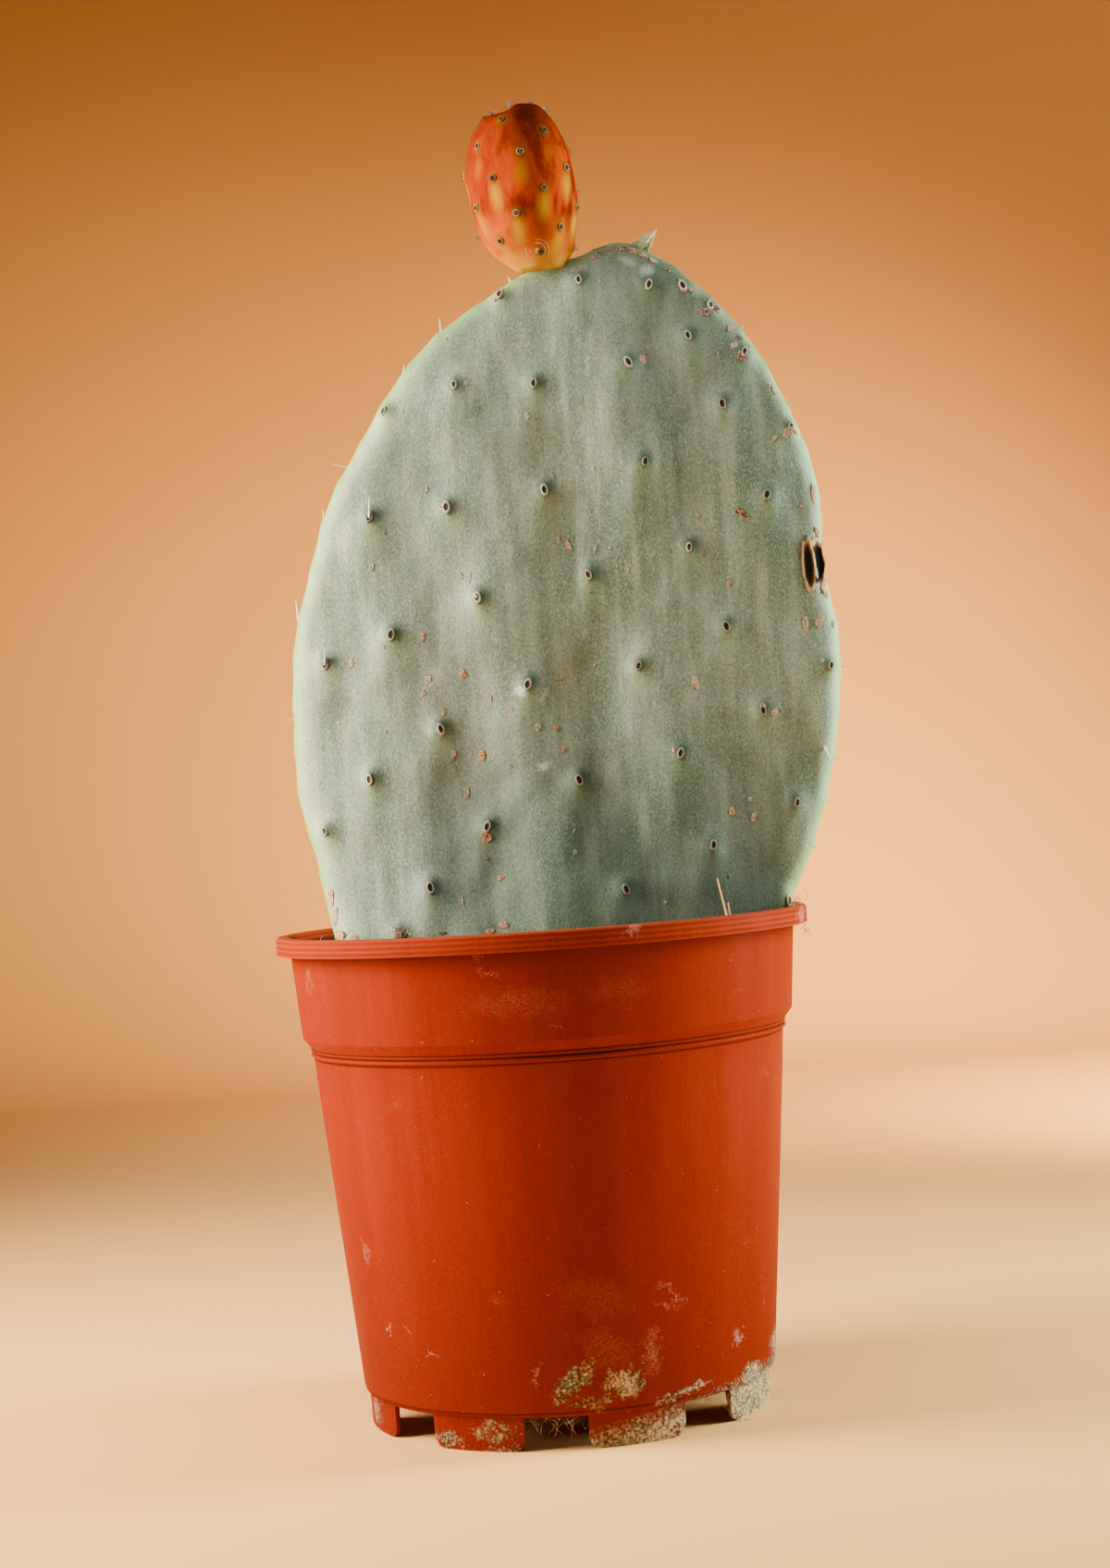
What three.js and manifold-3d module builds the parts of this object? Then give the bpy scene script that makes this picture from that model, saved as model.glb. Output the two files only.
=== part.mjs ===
// Potted paddle cactus: one rooted prickly-pear pad with a ripe fruit and a dry flower bud on its
// top edge, standing in gritty soil in a moulded plastic grower's pot with eight panel feet.
// Millimetres, +Z up, +Y away from the viewer. Every shape is drawn in the rim frame, whose origin
// is the middle of the pot's rim, and the whole plant is then lifted onto its feet.
import * as THREE from 'three';
import { mergeVertices } from 'three/addons/utils/BufferGeometryUtils.js';
import Module from 'manifold-3d';

const wasm = await Module();
wasm.setup();

// ---- Driving dimensions -------------------------------------------------------------------
const POT_HEIGHT = 182.5;
const POT_AXIS_X = -10.7; // the pad leans out to the right, so the pot stands left of the middle
const POT_SIDES = 56;
const WALL = 1.2;
const RIM_RADIUS = 100;
const LIP_DEPTH = 6.5;
const LIP_THICKNESS = 1.5;
const DECK_THICKNESS = 1.7; // flat top of the rim, from the wall out to the lip
const FLOOR_Z = -170.5; // underside of the raised floor
const FLOOR_THICKNESS = 1.8;
const FLOOR_RISE = 2.5; // the floor domes up a little in the middle
const FOOT_COUNT = 8;
const FOOT_TURN = 18.3; // degrees from straight towards the viewer to the first foot's middle
const FOOT_RADIUS = 75.6;
const FOOT_THICKNESS = 2.2;
const FOOT_GAP = 22.5; // width of the slot between two feet
const FOOT_CORNER = 4.5;
const DRAIN_RADIUS = 6;
const DRAIN_CIRCLE = 56;
const GAP = 0.3; // running clearance between pieces that touch

const SOIL_LEVEL = -12;
const SOIL_MOUND = 3.5; // the mix is heaped against the pad
const CHIP_COUNT = 26; // bark and pumice lumps lying in the surface
const CHIP_SIZE = [2.6, 5.2];

const PAD_SEGMENTS = 72;
const PAD_CENTRE = { x: 12, z: 92 };
const PAD_THICKNESS = { foot: 25, taper: 0.038 }; // full thickness at the rim, and its loss per mm of height
const PAD_EDGE = 6; // width of the thin rounded margin
const PAD_EDGE_SHARE = 0.42; // how much of the thickness is reached over that margin
const PAD_CROWN = 60; // width over which the faces go on swelling
const PAD_RINGS = [0.8, 3, PAD_EDGE, 16, 34, 62]; // how far inside the margin the skin's rings lie
const PAD_SWELL = 1.1; // height of the soft ribs that run up both faces
const PAD_BOW = 5; // how far the pad curves back between its foot and its top
const PAD_CURL = 6; // how far its left margin curves back too

const AREOLE_RISE = 1.1;
const AREOLE_TOP = 1.5;
const AREOLE_FOOT = 3.8;
const AREOLE_SUNK = 2.2;
const BACK_SHIFT = { inward: 0.94, down: 9 }; // the back's areoles against the front's
const MARGIN_PITCH = 18;
const SPINE_RADIUS = 0.42;
const BACK_SPINES = { likely: 0.35, length: [5, 9] };
const MARGIN_SPINES = { likely: 0.4, length: [2, 4] };
const SPINE_SUNK = 2.2;

const FRUIT_SEGMENTS = 20;
const FRUIT_FOOT = { x: 16.4, z: 246.5 };
const FRUIT_AREOLES = 34;
const FRUIT_TURN = -137.508; // degrees from one areole of the spiral to the next
const FRUIT_FIRST = { turn: 9, height: 4.7 };
const FRUIT_PITCH = 1.72;
const CROWN_TUFTS = 9;

// ---- Hand-drawn outlines --------------------------------------------------------------------
// Outer wall from the floor up to the rim: radius, height. Two fine beads run under the step.
const POT_WALL = [
  [75.9, FLOOR_Z], [77.4, -168.6], [87.6, -56], [88.4, -45.4],
  [89.4, -44.8], [89.4, -44.0], [88.6, -43.4], [89.4, -42.7], [89.4, -41.6],
  [92.2, -38], [94.8, -LIP_DEPTH],
];
// Pad outline at mid thickness, counter-clockwise as the viewer sees it: x, height.
const PAD_OUTLINE = [
  [8, -60], [45, -54], [72, -38], [85.5, -19], [91.4, -6], [95.6, 4], [101.8, 15], [112.2, 44.5],
  [117.8, 72], [119.4, 98], [117.6, 114], [116.2, 127], [116.4, 143], [113.4, 167], [106.2, 188],
  [98.2, 206], [88.2, 222], [75.2, 236.4], [61, 248.8], [46.5, 255.4], [31, 251], [13.6, 247.5],
  [-3.2, 238], [-25.9, 223.9], [-42.3, 206.7], [-56.8, 185.1], [-70.2, 163.2], [-80, 134.8],
  [-86.5, 112], [-89, 82.5], [-88.6, 51], [-83.6, 28.5], [-79.8, 5], [-75, -14], [-62, -35], [-36, -53],
];
// Where the areoles stand on the front: x, height.
const AREOLES = [
  [30, 240.5], [0, 237], [56, 237], [69, 235.5], [78.5, 227.5], [70, 216.5], [90.5, 209], [46, 207],
  [-19.5, 203], [10.5, 201.5], [-46.5, 195.5], [81, 189.5], [105.5, 179.5], [49.5, 169], [11.5, 161],
  [-25, 157], [-54.5, 155.5], [95, 153.5], [64.5, 136], [26.5, 128], [-15.5, 122], [-49, 110.5],
  [76.5, 105.5], [-74.5, 101.5], [43, 92.5], [1, 88.5], [114.5, 88.5], [-33, 74], [88, 73], [56, 59],
  [-60, 57], [17.5, 51.5], [-78.5, 38.5], [98, 38], [-17.5, 36.5], [65.5, 24], [-40.5, 15], [32, 9.5],
  [92.5, 1.5], [-53, -1.5],
];
// Needles that stand out on the front and along the left margin: x and height of foot and of tip.
const SEEN_SPINES = [
  [-23.5, 224.8, -23.7, 230.3], [-39.2, 208.6, -38.2, 213.3], [-62.4, 176.4, -68.6, 177.9],
  [-72.7, 153.2, -72.6, 160.7], [-54.8, 155.6, -54.1, 163.3], [-26.4, 156.9, -30.7, 158.9],
  [-84.8, 119.2, -85.2, 127.5], [-75.1, 101.3, -74.6, 107.4], [-87.8, 81.7, -94.9, 82],
  [-16, 122.4, -18.8, 125.5], [110.6, 58.2, 112.9, 52.8],
];
const WOUND = { x: 119, z: 129, size: [4, 9, 8] }; // an old bite out of the right margin
// Fruit: height above its foot, radius, and how far its axis has moved to the left.
const FRUIT_PROFILE = [
  [0, 8.6, 0], [3.5, 12, 1.6], [7.5, 15.2, 3.1], [12.5, 17.6, 4.1], [20.5, 19.6, 4.7], [28.5, 20.7, 5.2],
  [35.5, 20.8, 5.7], [43, 20, 6.1], [49.5, 18.2, 6.5], [54.5, 15.8, 6.5], [57.4, 13.5, 6.4], [58.5, 11.6, 6.4],
  [57.7, 9.6, 6.3], [55.6, 7, 6.3], [54.2, 4, 6.3],
];
const FRUIT_RIM = FRUIT_PROFILE[11];
// Dried bud: radius, height up its axis. It is pressed flat from front to back.
const BUD_PROFILE = [[3.3, -3], [3.6, 0], [3, 1.5], [2.4, 3], [1.8, 4.5], [1.2, 6], [0.7, 7.4]];
const BUD_TIP = 8.8;
const BUD_FLATNESS = 0.6;
const BUD_FOOT = new THREE.Vector3(54.7, 0, 253.2);
const BUD_LEAN = new THREE.Vector3(0.72, -0.1, 0.69);
// Dry grass stalk stuck in the mix in front of the pad.
const STRAW_RADIUS = 0.55;
const STRAW_PATH = [[70.6, -36, -19], [68.4, -32, -3], [65.9, -27, 12]];

// ---- Turning geometries into solids and back ------------------------------------------------
function solid(geometry) {
  const bare = geometry.clone();
  bare.deleteAttribute('normal');
  bare.deleteAttribute('uv');
  const merged = mergeVertices(bare);
  return new wasm.Manifold(new wasm.Mesh({
    numProp: 3,
    vertProperties: new Float32Array(merged.attributes.position.array),
    triVerts: new Uint32Array(merged.index.array),
  }));
}

function named(name, body, colour, roughness) {
  const { numProp, vertProperties, triVerts } = body.getMesh();
  const geometry = new THREE.BufferGeometry();
  geometry.setAttribute('position', new THREE.BufferAttribute(new Float32Array(vertProperties), numProp));
  geometry.setIndex(new THREE.BufferAttribute(new Uint32Array(triVerts), 1));
  geometry.computeVertexNormals();
  const mesh = new THREE.Mesh(geometry, new THREE.MeshStandardMaterial({ color: colour, roughness, metalness: 0 }));
  mesh.name = name;
  return mesh;
}

function union(bodies) {
  return wasm.Manifold.union(bodies);
}

// A closed skin over rings of points. Each ring runs counter-clockwise seen from the end pole.
function skin(start, rings, end) {
  const count = rings[0].length;
  const points = [start, ...rings.flat(), end];
  const at = (ring, i) => 1 + ring * count + (i % count);
  const index = [];
  for (let i = 0; i < count; i++) {
    index.push(0, at(0, i + 1), at(0, i));
    for (let ring = 0; ring < rings.length - 1; ring++) {
      index.push(at(ring, i), at(ring, i + 1), at(ring + 1, i + 1));
      index.push(at(ring, i), at(ring + 1, i + 1), at(ring + 1, i));
    }
    index.push(points.length - 1, at(rings.length - 1, i), at(rings.length - 1, i + 1));
  }
  return new THREE.BufferGeometry().setFromPoints(points).setIndex(index);
}

// A body of revolution about +Z from a closed profile of [radius, height] points.
function turned(profile, sides) {
  const points = profile.map(([radius, z]) => new THREE.Vector2(radius, z));
  return solid(new THREE.LatheGeometry([...points, points[0]], sides).rotateX(Math.PI / 2));
}

// Turns a geometry drawn along +Y to face a direction and puts its origin at a point.
function aimed(geometry, point, direction) {
  const turn = new THREE.Quaternion().setFromUnitVectors(new THREE.Vector3(0, 1, 0), direction.clone().normalize());
  return geometry.applyQuaternion(turn).translate(point.x, point.y, point.z);
}

// Seeded random numbers between 0 and 1.
function randomFrom(seed) {
  let state = seed;
  return () => {
    state = (state * 1664525 + 1013904223) % 4294967296;
    return state / 4294967296;
  };
}

function between([low, high], share) {
  return low + (high - low) * share;
}

function radians(degrees) {
  return (degrees * Math.PI) / 180;
}

// A point round the pot's axis, with 0 degrees towards the viewer and positive to the right.
function around(degrees, radius, z) {
  return new THREE.Vector3(radius * Math.sin(radians(degrees)), -radius * Math.cos(radians(degrees)), z);
}

// ---- Pot ------------------------------------------------------------------------------------
// Inner wall from the floor up to the soil and on to the rim, parallel to the outer wall's runs.
const INNER_WALL = [
  [75.6, FLOOR_Z + FLOOR_THICKNESS], [86.4, -56], [87.3, -44.6], [87.6, -42.2], [91, -38.4], [93.6, -LIP_DEPTH],
];

function potShell() {
  const deckOuter = RIM_RADIUS - LIP_THICKNESS;
  const wallTop = POT_WALL[POT_WALL.length - 1][0];
  return turned([
    [DRAIN_RADIUS, FLOOR_Z + FLOOR_RISE],
    ...POT_WALL,
    [wallTop + 0.2, -DECK_THICKNESS],
    [deckOuter, -DECK_THICKNESS],
    [deckOuter, -LIP_DEPTH],
    [RIM_RADIUS, -LIP_DEPTH],
    [RIM_RADIUS, -0.8],
    [RIM_RADIUS - 0.8, 0],
    [wallTop + 0.4, 0],
    [wallTop - WALL + 0.4, -1.2],
    ...[...INNER_WALL].reverse(),
    [DRAIN_RADIUS, FLOOR_Z + FLOOR_THICKNESS + FLOOR_RISE],
  ], POT_SIDES);
}

// The feet are what is left of a skirt under the floor after a slot is cut between each two.
function footSlot(degrees) {
  const half = FOOT_GAP / 2;
  const top = FLOOR_Z - 0.02;
  const bottom = -POT_HEIGHT - 1;
  const outline = new THREE.Shape();
  outline.moveTo(-half, top);
  outline.lineTo(-half, -POT_HEIGHT + FOOT_CORNER);
  outline.quadraticCurveTo(-half, -POT_HEIGHT, -half - FOOT_CORNER, -POT_HEIGHT);
  outline.lineTo(-half - FOOT_CORNER, bottom);
  outline.lineTo(half + FOOT_CORNER, bottom);
  outline.lineTo(half + FOOT_CORNER, -POT_HEIGHT);
  outline.quadraticCurveTo(half, -POT_HEIGHT, half, -POT_HEIGHT + FOOT_CORNER);
  outline.lineTo(half, top);
  const geometry = new THREE.ExtrudeGeometry(outline, { depth: RIM_RADIUS, bevelEnabled: false, curveSegments: 3 });
  geometry.rotateX(Math.PI / 2); // the outline stands upright and runs out towards the viewer
  return solid(geometry.rotateZ(radians(degrees)));
}

function feet() {
  const skirt = turned([
    [FOOT_RADIUS - FOOT_THICKNESS, -POT_HEIGHT],
    [FOOT_RADIUS - 0.4, -POT_HEIGHT],
    [FOOT_RADIUS, FLOOR_Z + 0.6],
    [FOOT_RADIUS - FOOT_THICKNESS, FLOOR_Z + 0.6],
  ], POT_SIDES);
  const pitch = 360 / FOOT_COUNT;
  const slots = [];
  for (let i = 0; i < FOOT_COUNT; i++) slots.push(footSlot(FOOT_TURN + (i + 0.5) * pitch));
  return skirt.subtract(union(slots));
}

function drains() {
  const holes = [];
  for (let i = 0; i < FOOT_COUNT; i++) {
    const place = around(FOOT_TURN + (i + 0.5) * (360 / FOOT_COUNT), DRAIN_CIRCLE, FLOOR_Z);
    const hole = new THREE.CylinderGeometry(DRAIN_RADIUS, DRAIN_RADIUS, 12, 12);
    holes.push(solid(aimed(hole, place, new THREE.Vector3(0, 0, 1))));
  }
  return union(holes);
}

function pot() {
  return potShell().add(feet()).subtract(drains());
}

// ---- Pad ------------------------------------------------------------------------------------
const padCurve = new THREE.CatmullRomCurve3(
  PAD_OUTLINE.map(([x, z]) => new THREE.Vector3(x, 0, z)), true, 'centripetal');

function padMargin(count) {
  return padCurve.getSpacedPoints(count).slice(0, count);
}

// Direction out of the pad in its own plane at a point of an evenly spaced margin.
function marginOutward(margin, i) {
  const before = margin[(i + margin.length - 1) % margin.length];
  const after = margin[(i + 1) % margin.length];
  return new THREE.Vector3(after.z - before.z, 0, before.x - after.x).normalize();
}

const fineMargin = padMargin(240);

// How far a place lies inside the margin, straight and along the line from the pad's centre.
function padInside(x, z) {
  const out = new THREE.Vector3(x - PAD_CENTRE.x, 0, z - PAD_CENTRE.z);
  let depth = Infinity;
  let nearest = 0;
  let reach = PAD_CROWN;
  for (const point of fineMargin) {
    depth = Math.min(depth, Math.hypot(point.x - x, point.z - z));
    const spoke = new THREE.Vector3(point.x - PAD_CENTRE.x, 0, point.z - PAD_CENTRE.z);
    const along = spoke.dot(out) / spoke.length();
    if (along > nearest) {
      nearest = along;
      reach = spoke.length() - out.length();
    }
  }
  return [depth, reach];
}

// Half thickness: a thin round edge by the straight depth, then a convex face by the reach.
function padHalf(x, z, depth, reach) {
  const full = (PAD_THICKNESS.foot - PAD_THICKNESS.taper * z) / 2;
  const edge = Math.min(depth, PAD_EDGE) / PAD_EDGE;
  const crown = THREE.MathUtils.clamp(reach / PAD_CROWN, 0, 1);
  const ribs = Math.sin(x / 8.5 + z / 60) + 0.6 * Math.sin(x / 19 - z / 23 + 1);
  const face = PAD_EDGE_SHARE * Math.sqrt(1 - (1 - edge) ** 2) + (1 - PAD_EDGE_SHARE) * (1 - (1 - crown) ** 2);
  return full * face + PAD_SWELL * crown * ribs;
}

function padBow(z, x = PAD_CENTRE.x) {
  const curl = PAD_CURL * (Math.max(PAD_CENTRE.x - x, 0) / 100) ** 2;
  return PAD_BOW * ((z - 100) / 150) ** 2 * Math.sign(z - 100) + 0.8 + curl;
}

// Point on the pad's front (side -1) or back (side 1) face, or inside its margin (side 0).
function padPoint(x, z, side) {
  const half = side ? padHalf(x, z, ...padInside(x, z)) : 0;
  return new THREE.Vector3(x, padBow(z, x) + side * half, z);
}

function padFaceNormal(x, z, side) {
  const here = padPoint(x, z, side);
  const right = padPoint(x + 2, z, side).sub(here);
  const up = padPoint(x, z + 2, side).sub(here);
  return right.cross(up).multiplyScalar(-side).normalize();
}

// The pad's plain body; grow makes it that much larger all round, to cut its seat in neighbours.
function padBody(grow = 0) {
  const margin = padMargin(PAD_SEGMENTS);
  const ring = (reach, side) => margin.map((point, i) => {
    const outward = marginOutward(margin, i);
    const inward = new THREE.Vector3(PAD_CENTRE.x - point.x, 0, PAD_CENTRE.z - point.z).normalize();
    const place = point.clone().addScaledVector(inward, reach);
    const half = reach > 0 ? padHalf(place.x, place.z, -reach * inward.dot(outward), reach) + grow : 0;
    place.y = padBow(place.z, place.x) + side * half;
    return place.addScaledVector(outward, grow);
  });
  const face = (side) => PAD_RINGS.map((reach) => ring(reach, side));
  const pole = (side) => {
    const { x, z } = PAD_CENTRE;
    return new THREE.Vector3(x, padBow(z) + side * (padHalf(x, z, PAD_EDGE, PAD_CROWN) + grow), z);
  };
  return solid(skin(pole(1), [...face(1).reverse(), ring(0, 0), ...face(-1)], pole(-1)));
}

// A low wart of skin with its corky eye.
function areole(point, outward) {
  const wart = new THREE.CylinderGeometry(AREOLE_TOP, AREOLE_FOOT, AREOLE_RISE + AREOLE_SUNK, 5);
  wart.translate(0, (AREOLE_RISE - AREOLE_SUNK) / 2, 0);
  return solid(aimed(wart, point, outward));
}

function spine(point, direction, length) {
  const needle = new THREE.ConeGeometry(SPINE_RADIUS, length + SPINE_SUNK, 3);
  needle.translate(0, (length - SPINE_SUNK) / 2, 0);
  return solid(aimed(needle, point, direction));
}

function nearWound(x, z) {
  return Math.abs(x - WOUND.x) < 14 && Math.abs(z - WOUND.z) < 16;
}

// Every areole of the pad: its point, the way it faces, and the needles that grow from such ones.
function areolePlaces() {
  const places = [];
  for (const [x, z] of AREOLES) {
    places.push({ point: padPoint(x, z, -1), outward: padFaceNormal(x, z, -1), spines: null });
    const backX = PAD_CENTRE.x + (x - PAD_CENTRE.x) * BACK_SHIFT.inward;
    const backZ = z - BACK_SHIFT.down;
    if (backZ < 0 || nearWound(backX, backZ)) continue;
    places.push({ point: padPoint(backX, backZ, 1), outward: padFaceNormal(backX, backZ, 1), spines: BACK_SPINES });
  }
  const margin = padMargin(Math.round(padCurve.getLength() / MARGIN_PITCH));
  margin.forEach(({ x, z }, i) => {
    const underFruit = Math.abs(x - FRUIT_FOOT.x) < 12 && z > 200;
    const underBud = Math.abs(x - BUD_FOOT.x) < 8 && z > 200;
    if (z < 4 || underFruit || underBud || nearWound(x, z)) return;
    const spines = x > 0 ? MARGIN_SPINES : null;
    places.push({ point: padPoint(x, z, 0), outward: marginOutward(margin, i), spines });
  });
  return places;
}

// The needles read off the front and the left margin. One whose foot lies at the margin grows from
// the middle of the pad's thickness.
function seenSpines() {
  return SEEN_SPINES.map(([x, z, tipX, tipZ]) => {
    const [depth] = padInside(x, z);
    const foot = padPoint(x, z, depth < PAD_EDGE / 2 ? 0 : -1);
    const direction = new THREE.Vector3(tipX - x, -2.5, tipZ - z);
    return spine(foot, direction, direction.length());
  });
}

function wound() {
  const bite = new THREE.SphereGeometry(1, 8, 6).scale(...WOUND.size);
  return solid(bite.translate(WOUND.x, padBow(WOUND.z), WOUND.z));
}

function pad() {
  const random = randomFrom(11);
  const growth = seenSpines();
  for (const { point, outward, spines } of areolePlaces()) {
    growth.push(areole(point, outward));
    if (!spines || random() > spines.likely) continue;
    const lean = new THREE.Vector3((random() - 0.5) * 0.6, (random() - 0.5) * 0.6, random() * 0.9);
    growth.push(spine(point, lean.add(outward), between(spines.length, random())));
  }
  return padBody().subtract(wound()).add(union(growth));
}

// ---- Fruit ----------------------------------------------------------------------------------
// Radius and axis of the fruit at a height above its foot, read between the profile's points.
function fruitSection(height) {
  const above = Math.max(1, FRUIT_PROFILE.findIndex(([level]) => level >= height));
  const [low, high] = [FRUIT_PROFILE[above - 1], FRUIT_PROFILE[above]];
  const share = (height - low[0]) / (high[0] - low[0]);
  return { radius: between([low[1], high[1]], share), shift: between([low[2], high[2]], share) };
}

function fruitCentre(shift, height) {
  return new THREE.Vector3(FRUIT_FOOT.x - shift, padBow(FRUIT_FOOT.z), FRUIT_FOOT.z + height);
}

// The crown stands higher on its right half: by how much, at a place left or right of its middle.
function crownRise(across) {
  return 2.9 / (1 + ((across - 4.5) / 6.2) ** 6) + 0.6 * Math.exp(-(((across + 12) / 3) ** 2));
}

// A point round the fruit's axis at a height, on the tilted crown where it is near the top.
function fruitPoint(degrees, radius, shift, height) {
  const flat = around(degrees, radius, 0);
  const nearTop = THREE.MathUtils.clamp((height - 48) / 10, 0, 1);
  return flat.add(fruitCentre(shift, height + nearTop * crownRise(flat.x)));
}

function fruitRing(height, radius, shift) {
  const ring = [];
  for (let i = 0; i < FRUIT_SEGMENTS; i++) ring.push(fruitPoint((i * 360) / FRUIT_SEGMENTS, radius, shift, height));
  return ring;
}

function fruitAreole(i) {
  const height = Math.min(FRUIT_FIRST.height + i * FRUIT_PITCH, FRUIT_RIM[0] - 1);
  const { radius, shift } = fruitSection(height);
  const turn = FRUIT_FIRST.turn + i * FRUIT_TURN;
  const point = fruitPoint(turn, radius, shift, height);
  const outward = around(turn, 1, 0);
  const slope = (height - 30) / 34; // the skin faces down below the belly and up above it
  return { point, outward: outward.setZ(slope * Math.abs(slope)).normalize() };
}

function fruit() {
  const rings = FRUIT_PROFILE.map(([height, radius, shift]) => fruitRing(height, radius, shift));
  const [topHeight, , topShift] = FRUIT_PROFILE[FRUIT_PROFILE.length - 1];
  const body = solid(skin(fruitCentre(0, 0), rings, fruitCentre(topShift, topHeight - 0.8)));
  const growth = [];
  for (let i = 0; i < FRUIT_AREOLES; i++) {
    const { point, outward } = fruitAreole(i);
    const wart = new THREE.CylinderGeometry(0.8, 1.9, 2, 4).translate(0, -0.4, 0);
    growth.push(solid(aimed(wart, point, outward)));
    const tuft = new THREE.ConeGeometry(0.5, 3.2, 3).translate(0, 1.2, 0);
    if (i % 3 === 0) growth.push(solid(aimed(tuft, point, outward.clone().setZ(outward.z + 0.3))));
  }
  for (let i = 0; i < CROWN_TUFTS; i++) {
    const [height, radius, shift] = FRUIT_RIM;
    const turn = 32 + (i * 360) / CROWN_TUFTS;
    const tuft = new THREE.ConeGeometry(0.8, 4, 3).translate(0, 0.4, 0);
    const upward = around(turn, 0.35, 1);
    growth.push(solid(aimed(tuft, fruitPoint(turn, radius, shift, height), upward)));
  }
  return body.add(union(growth)).subtract(padBody(GAP));
}

// ---- Dry bud, straw and soil ----------------------------------------------------------------
function dryBud() {
  const sides = 7;
  const rings = BUD_PROFILE.map(([radius, height]) => {
    const ring = [];
    for (let i = 0; i < sides; i++) {
      const turn = (i * 2 * Math.PI) / sides;
      ring.push(new THREE.Vector3(radius * Math.cos(turn), height, -radius * Math.sin(turn)));
    }
    return ring;
  });
  const cone = skin(new THREE.Vector3(0, BUD_PROFILE[0][1], 0), rings, new THREE.Vector3(0, BUD_TIP, 0));
  const leaning = aimed(cone, new THREE.Vector3(), BUD_LEAN).scale(1, BUD_FLATNESS, 1);
  return solid(leaning.translate(BUD_FOOT.x, padBow(BUD_FOOT.z), BUD_FOOT.z)).subtract(padBody(GAP));
}

function strawBody(radius) {
  const path = new THREE.CatmullRomCurve3(STRAW_PATH.map((point) => new THREE.Vector3(...point)));
  const section = new THREE.Shape().absarc(0, 0, radius, 0, Math.PI * 2);
  return solid(new THREE.ExtrudeGeometry(section, { steps: 6, curveSegments: 3, extrudePath: path }));
}

function soilHeight(x, y) {
  const heap = Math.exp(-((y / 26) ** 2)) * Math.exp(-(((x - 8) / 95) ** 4));
  const lumps = Math.sin(x / 9 + 2) * Math.cos(y / 7.5) + 0.7 * Math.sin(x / 5.3 - y / 6.1);
  return SOIL_LEVEL + SOIL_MOUND * heap + 0.9 * lumps;
}

function soilBody() {
  const inner = (z) => {
    const above = Math.max(1, INNER_WALL.findIndex(([, level]) => level >= z));
    const [low, high] = [INNER_WALL[above - 1], INNER_WALL[above]];
    return between([low[0], high[0]], (z - low[1]) / (high[1] - low[1])) - GAP;
  };
  const ring = (radius, height) => {
    const points = [];
    for (let i = 0; i < POT_SIDES; i++) {
      const place = around((i * 360) / POT_SIDES, radius, 0);
      points.push(place.setZ(height(place.x, place.y)));
    }
    return points;
  };
  const floor = INNER_WALL[0][1] + GAP;
  const sides = INNER_WALL.slice(0, -1).map(([radius, z]) => ring(radius - GAP, () => Math.max(z, floor)));
  const edge = inner(SOIL_LEVEL) - 0.1;
  const domed = (radius) => ring(radius, () => floor + FLOOR_RISE * (1 - radius / INNER_WALL[0][0]));
  const rings = [
    domed(25), domed(52), ...sides, ring(edge, () => SOIL_LEVEL - 3),
    ...[1, 0.9, 0.78, 0.64, 0.48, 0.3, 0.14].map((share) => ring(edge * share, soilHeight)),
  ];
  const under = new THREE.Vector3(0, 0, floor + FLOOR_RISE);
  return solid(skin(under, rings, new THREE.Vector3(0, 0, soilHeight(0, 0))));
}

function chips() {
  const random = randomFrom(5);
  const lumps = [];
  while (lumps.length < CHIP_COUNT) {
    const place = around(random() * 360, 84 * Math.sqrt(random()), 0);
    const size = between(CHIP_SIZE, random());
    if (Math.abs(place.y) < 24) continue;
    const lump = new THREE.IcosahedronGeometry(size, 0).scale(1, 0.75, 0.55).rotateZ(random() * 6);
    lumps.push(solid(lump.translate(place.x, place.y, soilHeight(place.x, place.y) + 0.1 * size)));
  }
  return union(lumps);
}

function soil() {
  return soilBody().add(chips()).subtract(padBody(GAP)).subtract(strawBody(STRAW_RADIUS + GAP));
}

// ---- Assembly -------------------------------------------------------------------------------
const plant = new THREE.Group();
plant.position.set(POT_AXIS_X, 0, POT_HEIGHT);
plant.add(
  named('pot', pot(), '#b8421d', 0.55),
  named('soil', soil(), '#3b2a1e', 0.95),
  named('paddle', pad(), '#6f8470', 0.6),
  named('fruit', fruit(), '#d9581f', 0.4),
  named('dry_bud', dryBud(), '#a8a888', 0.8),
  named('straw', strawBody(STRAW_RADIUS), '#c79a55', 0.75),
);

export default plant;
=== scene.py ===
# Potted paddle cactus: a single prickly pear pad with a ripe fruit and a dry bud on its top edge,
# rooted in a gritty mix in a moulded plastic grower's pot. The script follows the plant as it is
# put together: pot, dirt on the pot, soil, pad, areoles, needles, scars, fruit, bud, straw, studio.
import math
import random

import bmesh
import bpy
import numpy as np
from mathutils import Matrix, Vector, noise
from mathutils.bvhtree import BVHTree
from mathutils.kdtree import KDTree


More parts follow.
